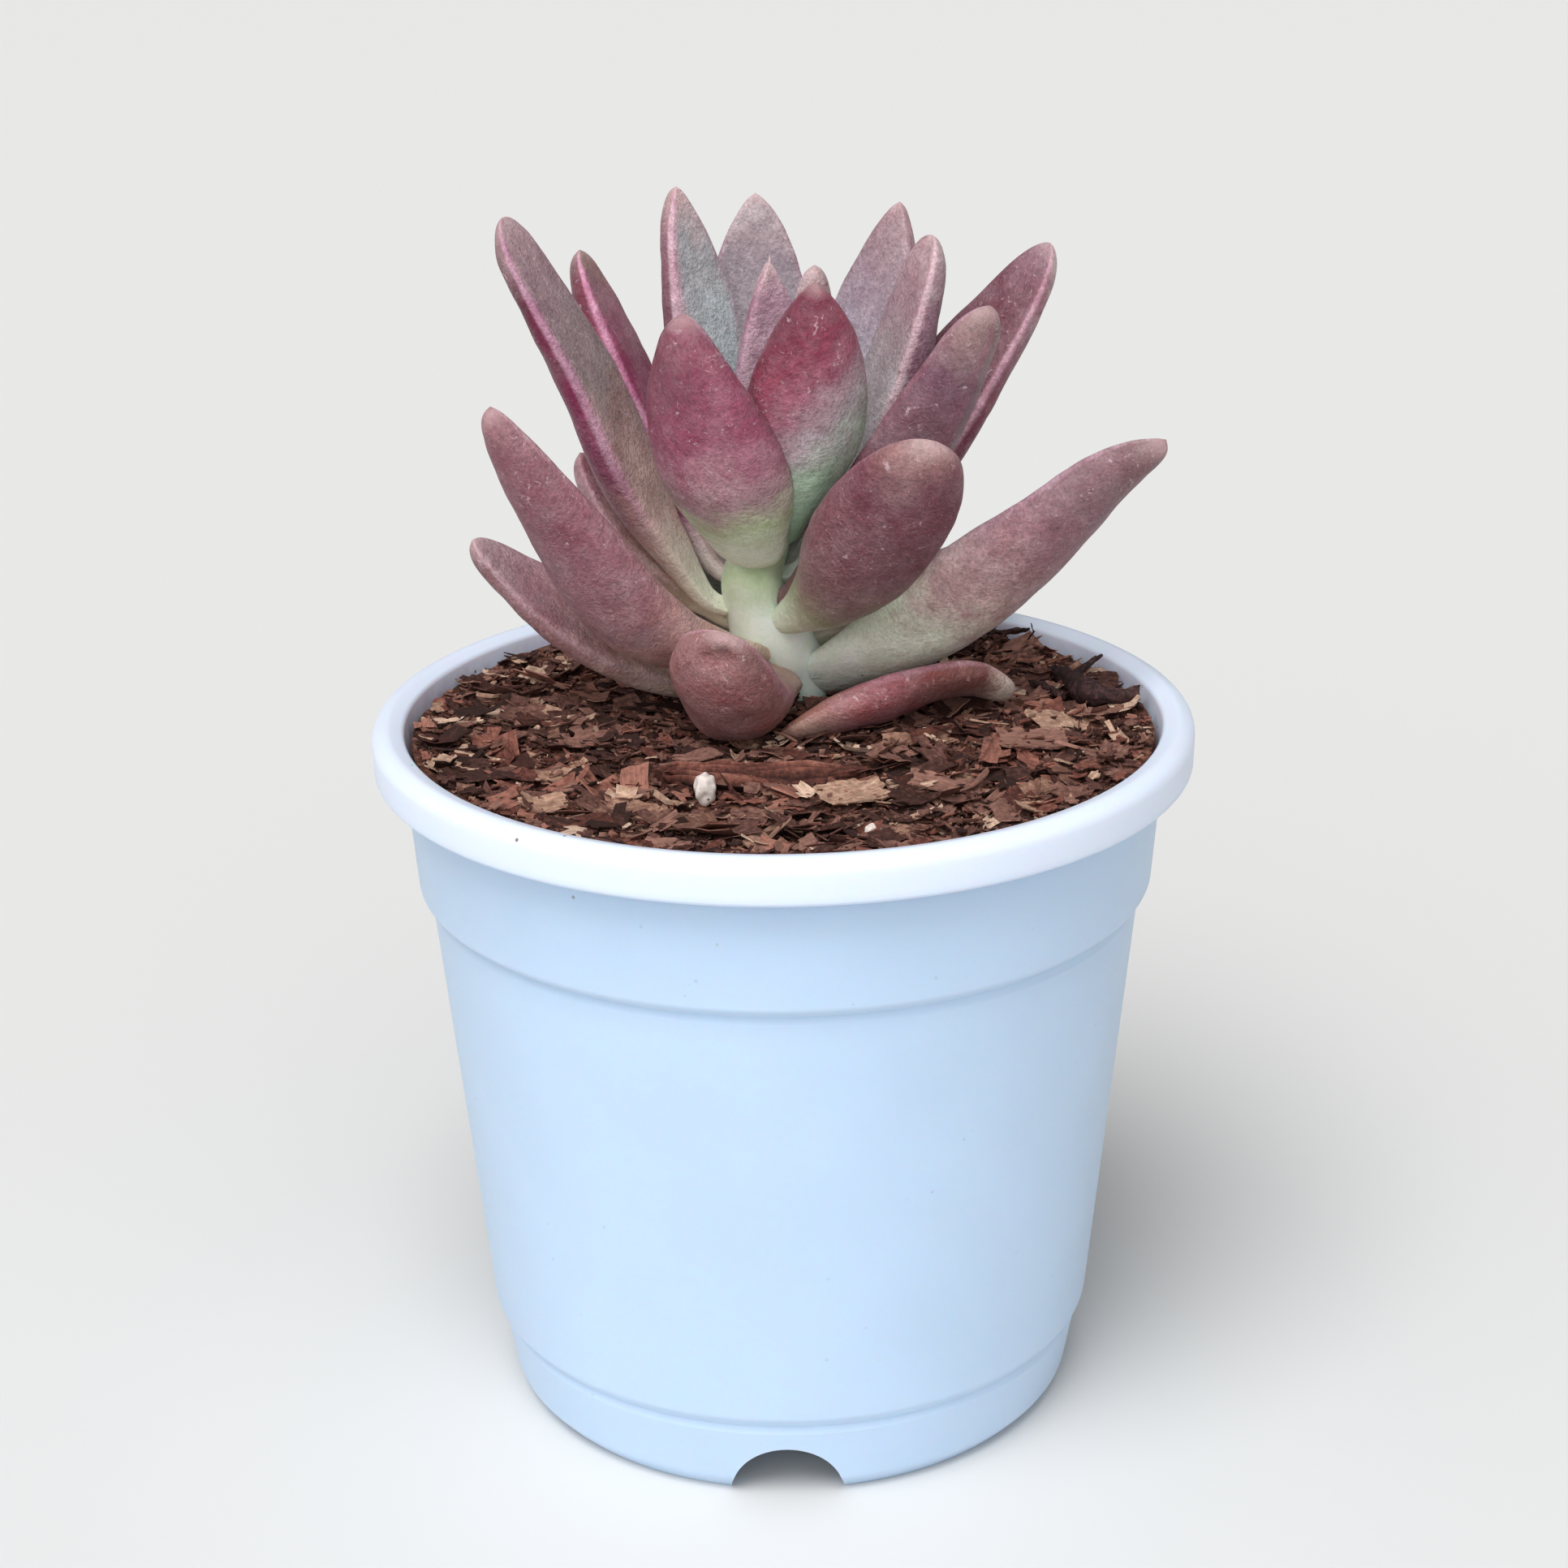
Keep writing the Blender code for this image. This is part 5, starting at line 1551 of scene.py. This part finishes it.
@dataclass
class Studio:
    """A pale floor, one soft light, a sky that is brighter in front, and the camera."""

    camera_place: tuple[float, float, float] = (0.0, -392.69, 231.15)
    camera_pitch: float = 20.676
    camera_roll: float = -0.731
    lens: float = 74.534
    sensor: float = 36.0
    floor_half: float = 40000.0
    dim: float = 0.16          # how bright the studio is behind the pot
    bright: float = 1.82       # and in front of it, above the camera
    sky_way: tuple[float, float, float] = (-0.20, -0.80, 0.57)  # where it is brightest
    sky_power: float = 3.5     # how quickly it darkens away from there
    key_way: tuple[float, float, float] = (-0.20, -0.50, 1.0)
    key_power: float = 1.95
    key_spread: float = 35.0   # how wide the softbox looks from the pot, degrees
    floor_colour: str = "#DBDBDA"

    def build(self) -> None:
        """Build the floor, the light, the sky and the camera."""
        self.floor()
        self.light()
        world = bpy.data.worlds.new("studio_air")
        world.use_nodes = True
        sky = world.node_tree.nodes["Background"]
        way = add_node(world.node_tree, "TexCoord").outputs["Generated"]
        lit = add_node(world.node_tree, "VectorMath", {0: way, 1: self.sky_way},
                       operation="DOT_PRODUCT")
        glow = add_node(world.node_tree, "MapRange", {0: lit.outputs["Value"], 1: -0.3, 2: 1.0})
        glow = add_node(world.node_tree, "Math", {0: glow, 1: self.sky_power}, operation="POWER")
        glow = add_node(world.node_tree, "Math", {0: glow, 1: self.bright - self.dim, 2: self.dim},
                        operation="MULTIPLY_ADD")
        world.node_tree.links.new(glow.outputs[0], sky.inputs["Strength"])
        sky.inputs["Color"].default_value = linear("#FFFFFF")
        bpy.context.scene.world = world
        bpy.context.scene.view_settings.view_transform = "Standard"
        self.camera()

    def floor(self) -> None:
        """Lay the floor."""
        deselect_all()
        bpy.ops.mesh.primitive_plane_add(size=2 * self.floor_half * MM)
        floor = bpy.context.active_object
        floor.name = "studio_floor"
        material, _, shader = new_material("painted board, matt", Roughness=0.9,
                                           Specular_IOR_Level=0.1)
        shader.inputs["Base Color"].default_value = linear(self.floor_colour)
        floor.data.materials.append(material)

    def light(self) -> None:
        """Hang a distant white softbox."""
        lamp = bpy.data.lights.new("key_softbox", "SUN")
        lamp.angle = math.radians(self.key_spread)
        lamp.energy = self.key_power
        softbox = bpy.data.objects.new("key_softbox", lamp)
        bpy.context.scene.collection.objects.link(softbox)
        softbox.location = Vector(self.key_way)
        softbox.rotation_euler = Vector(self.key_way).to_track_quat("Z", "Y").to_euler()

    def camera(self) -> None:
        """Place the camera."""
        lens = bpy.data.cameras.new("camera")
        lens.lens = self.lens
        lens.sensor_width = self.sensor
        camera = bpy.data.objects.new("camera", lens)
        bpy.context.scene.collection.objects.link(camera)
        camera.matrix_world = (Matrix.Translation(Vector(self.camera_place) * MM)
                               @ Matrix.Rotation(math.radians(90 - self.camera_pitch), 4, "X")
                               @ Matrix.Rotation(math.radians(self.camera_roll), 4, "Z"))
        bpy.context.scene.camera = camera


def main() -> None:
    """Build everything in order."""
    logging.basicConfig(level=logging.INFO, format="%(message)s")
    Studio().build()
    Pot().build()
    soil = Soil()
    soil.build()
    LitterBed(soil).build()
    blank = Blank()
    blank.build()
    root_wood = TwigFinish().material()
    for twig in TWIGS:
        twig.build(blank, soil, root_wood)
    chalk = GrainFinish().material()
    for grain in GRAINS:
        grain.build(soil, chalk)
    Rosette().build(blank)
    blank.discard()


if __name__ == "__main__":
    main()
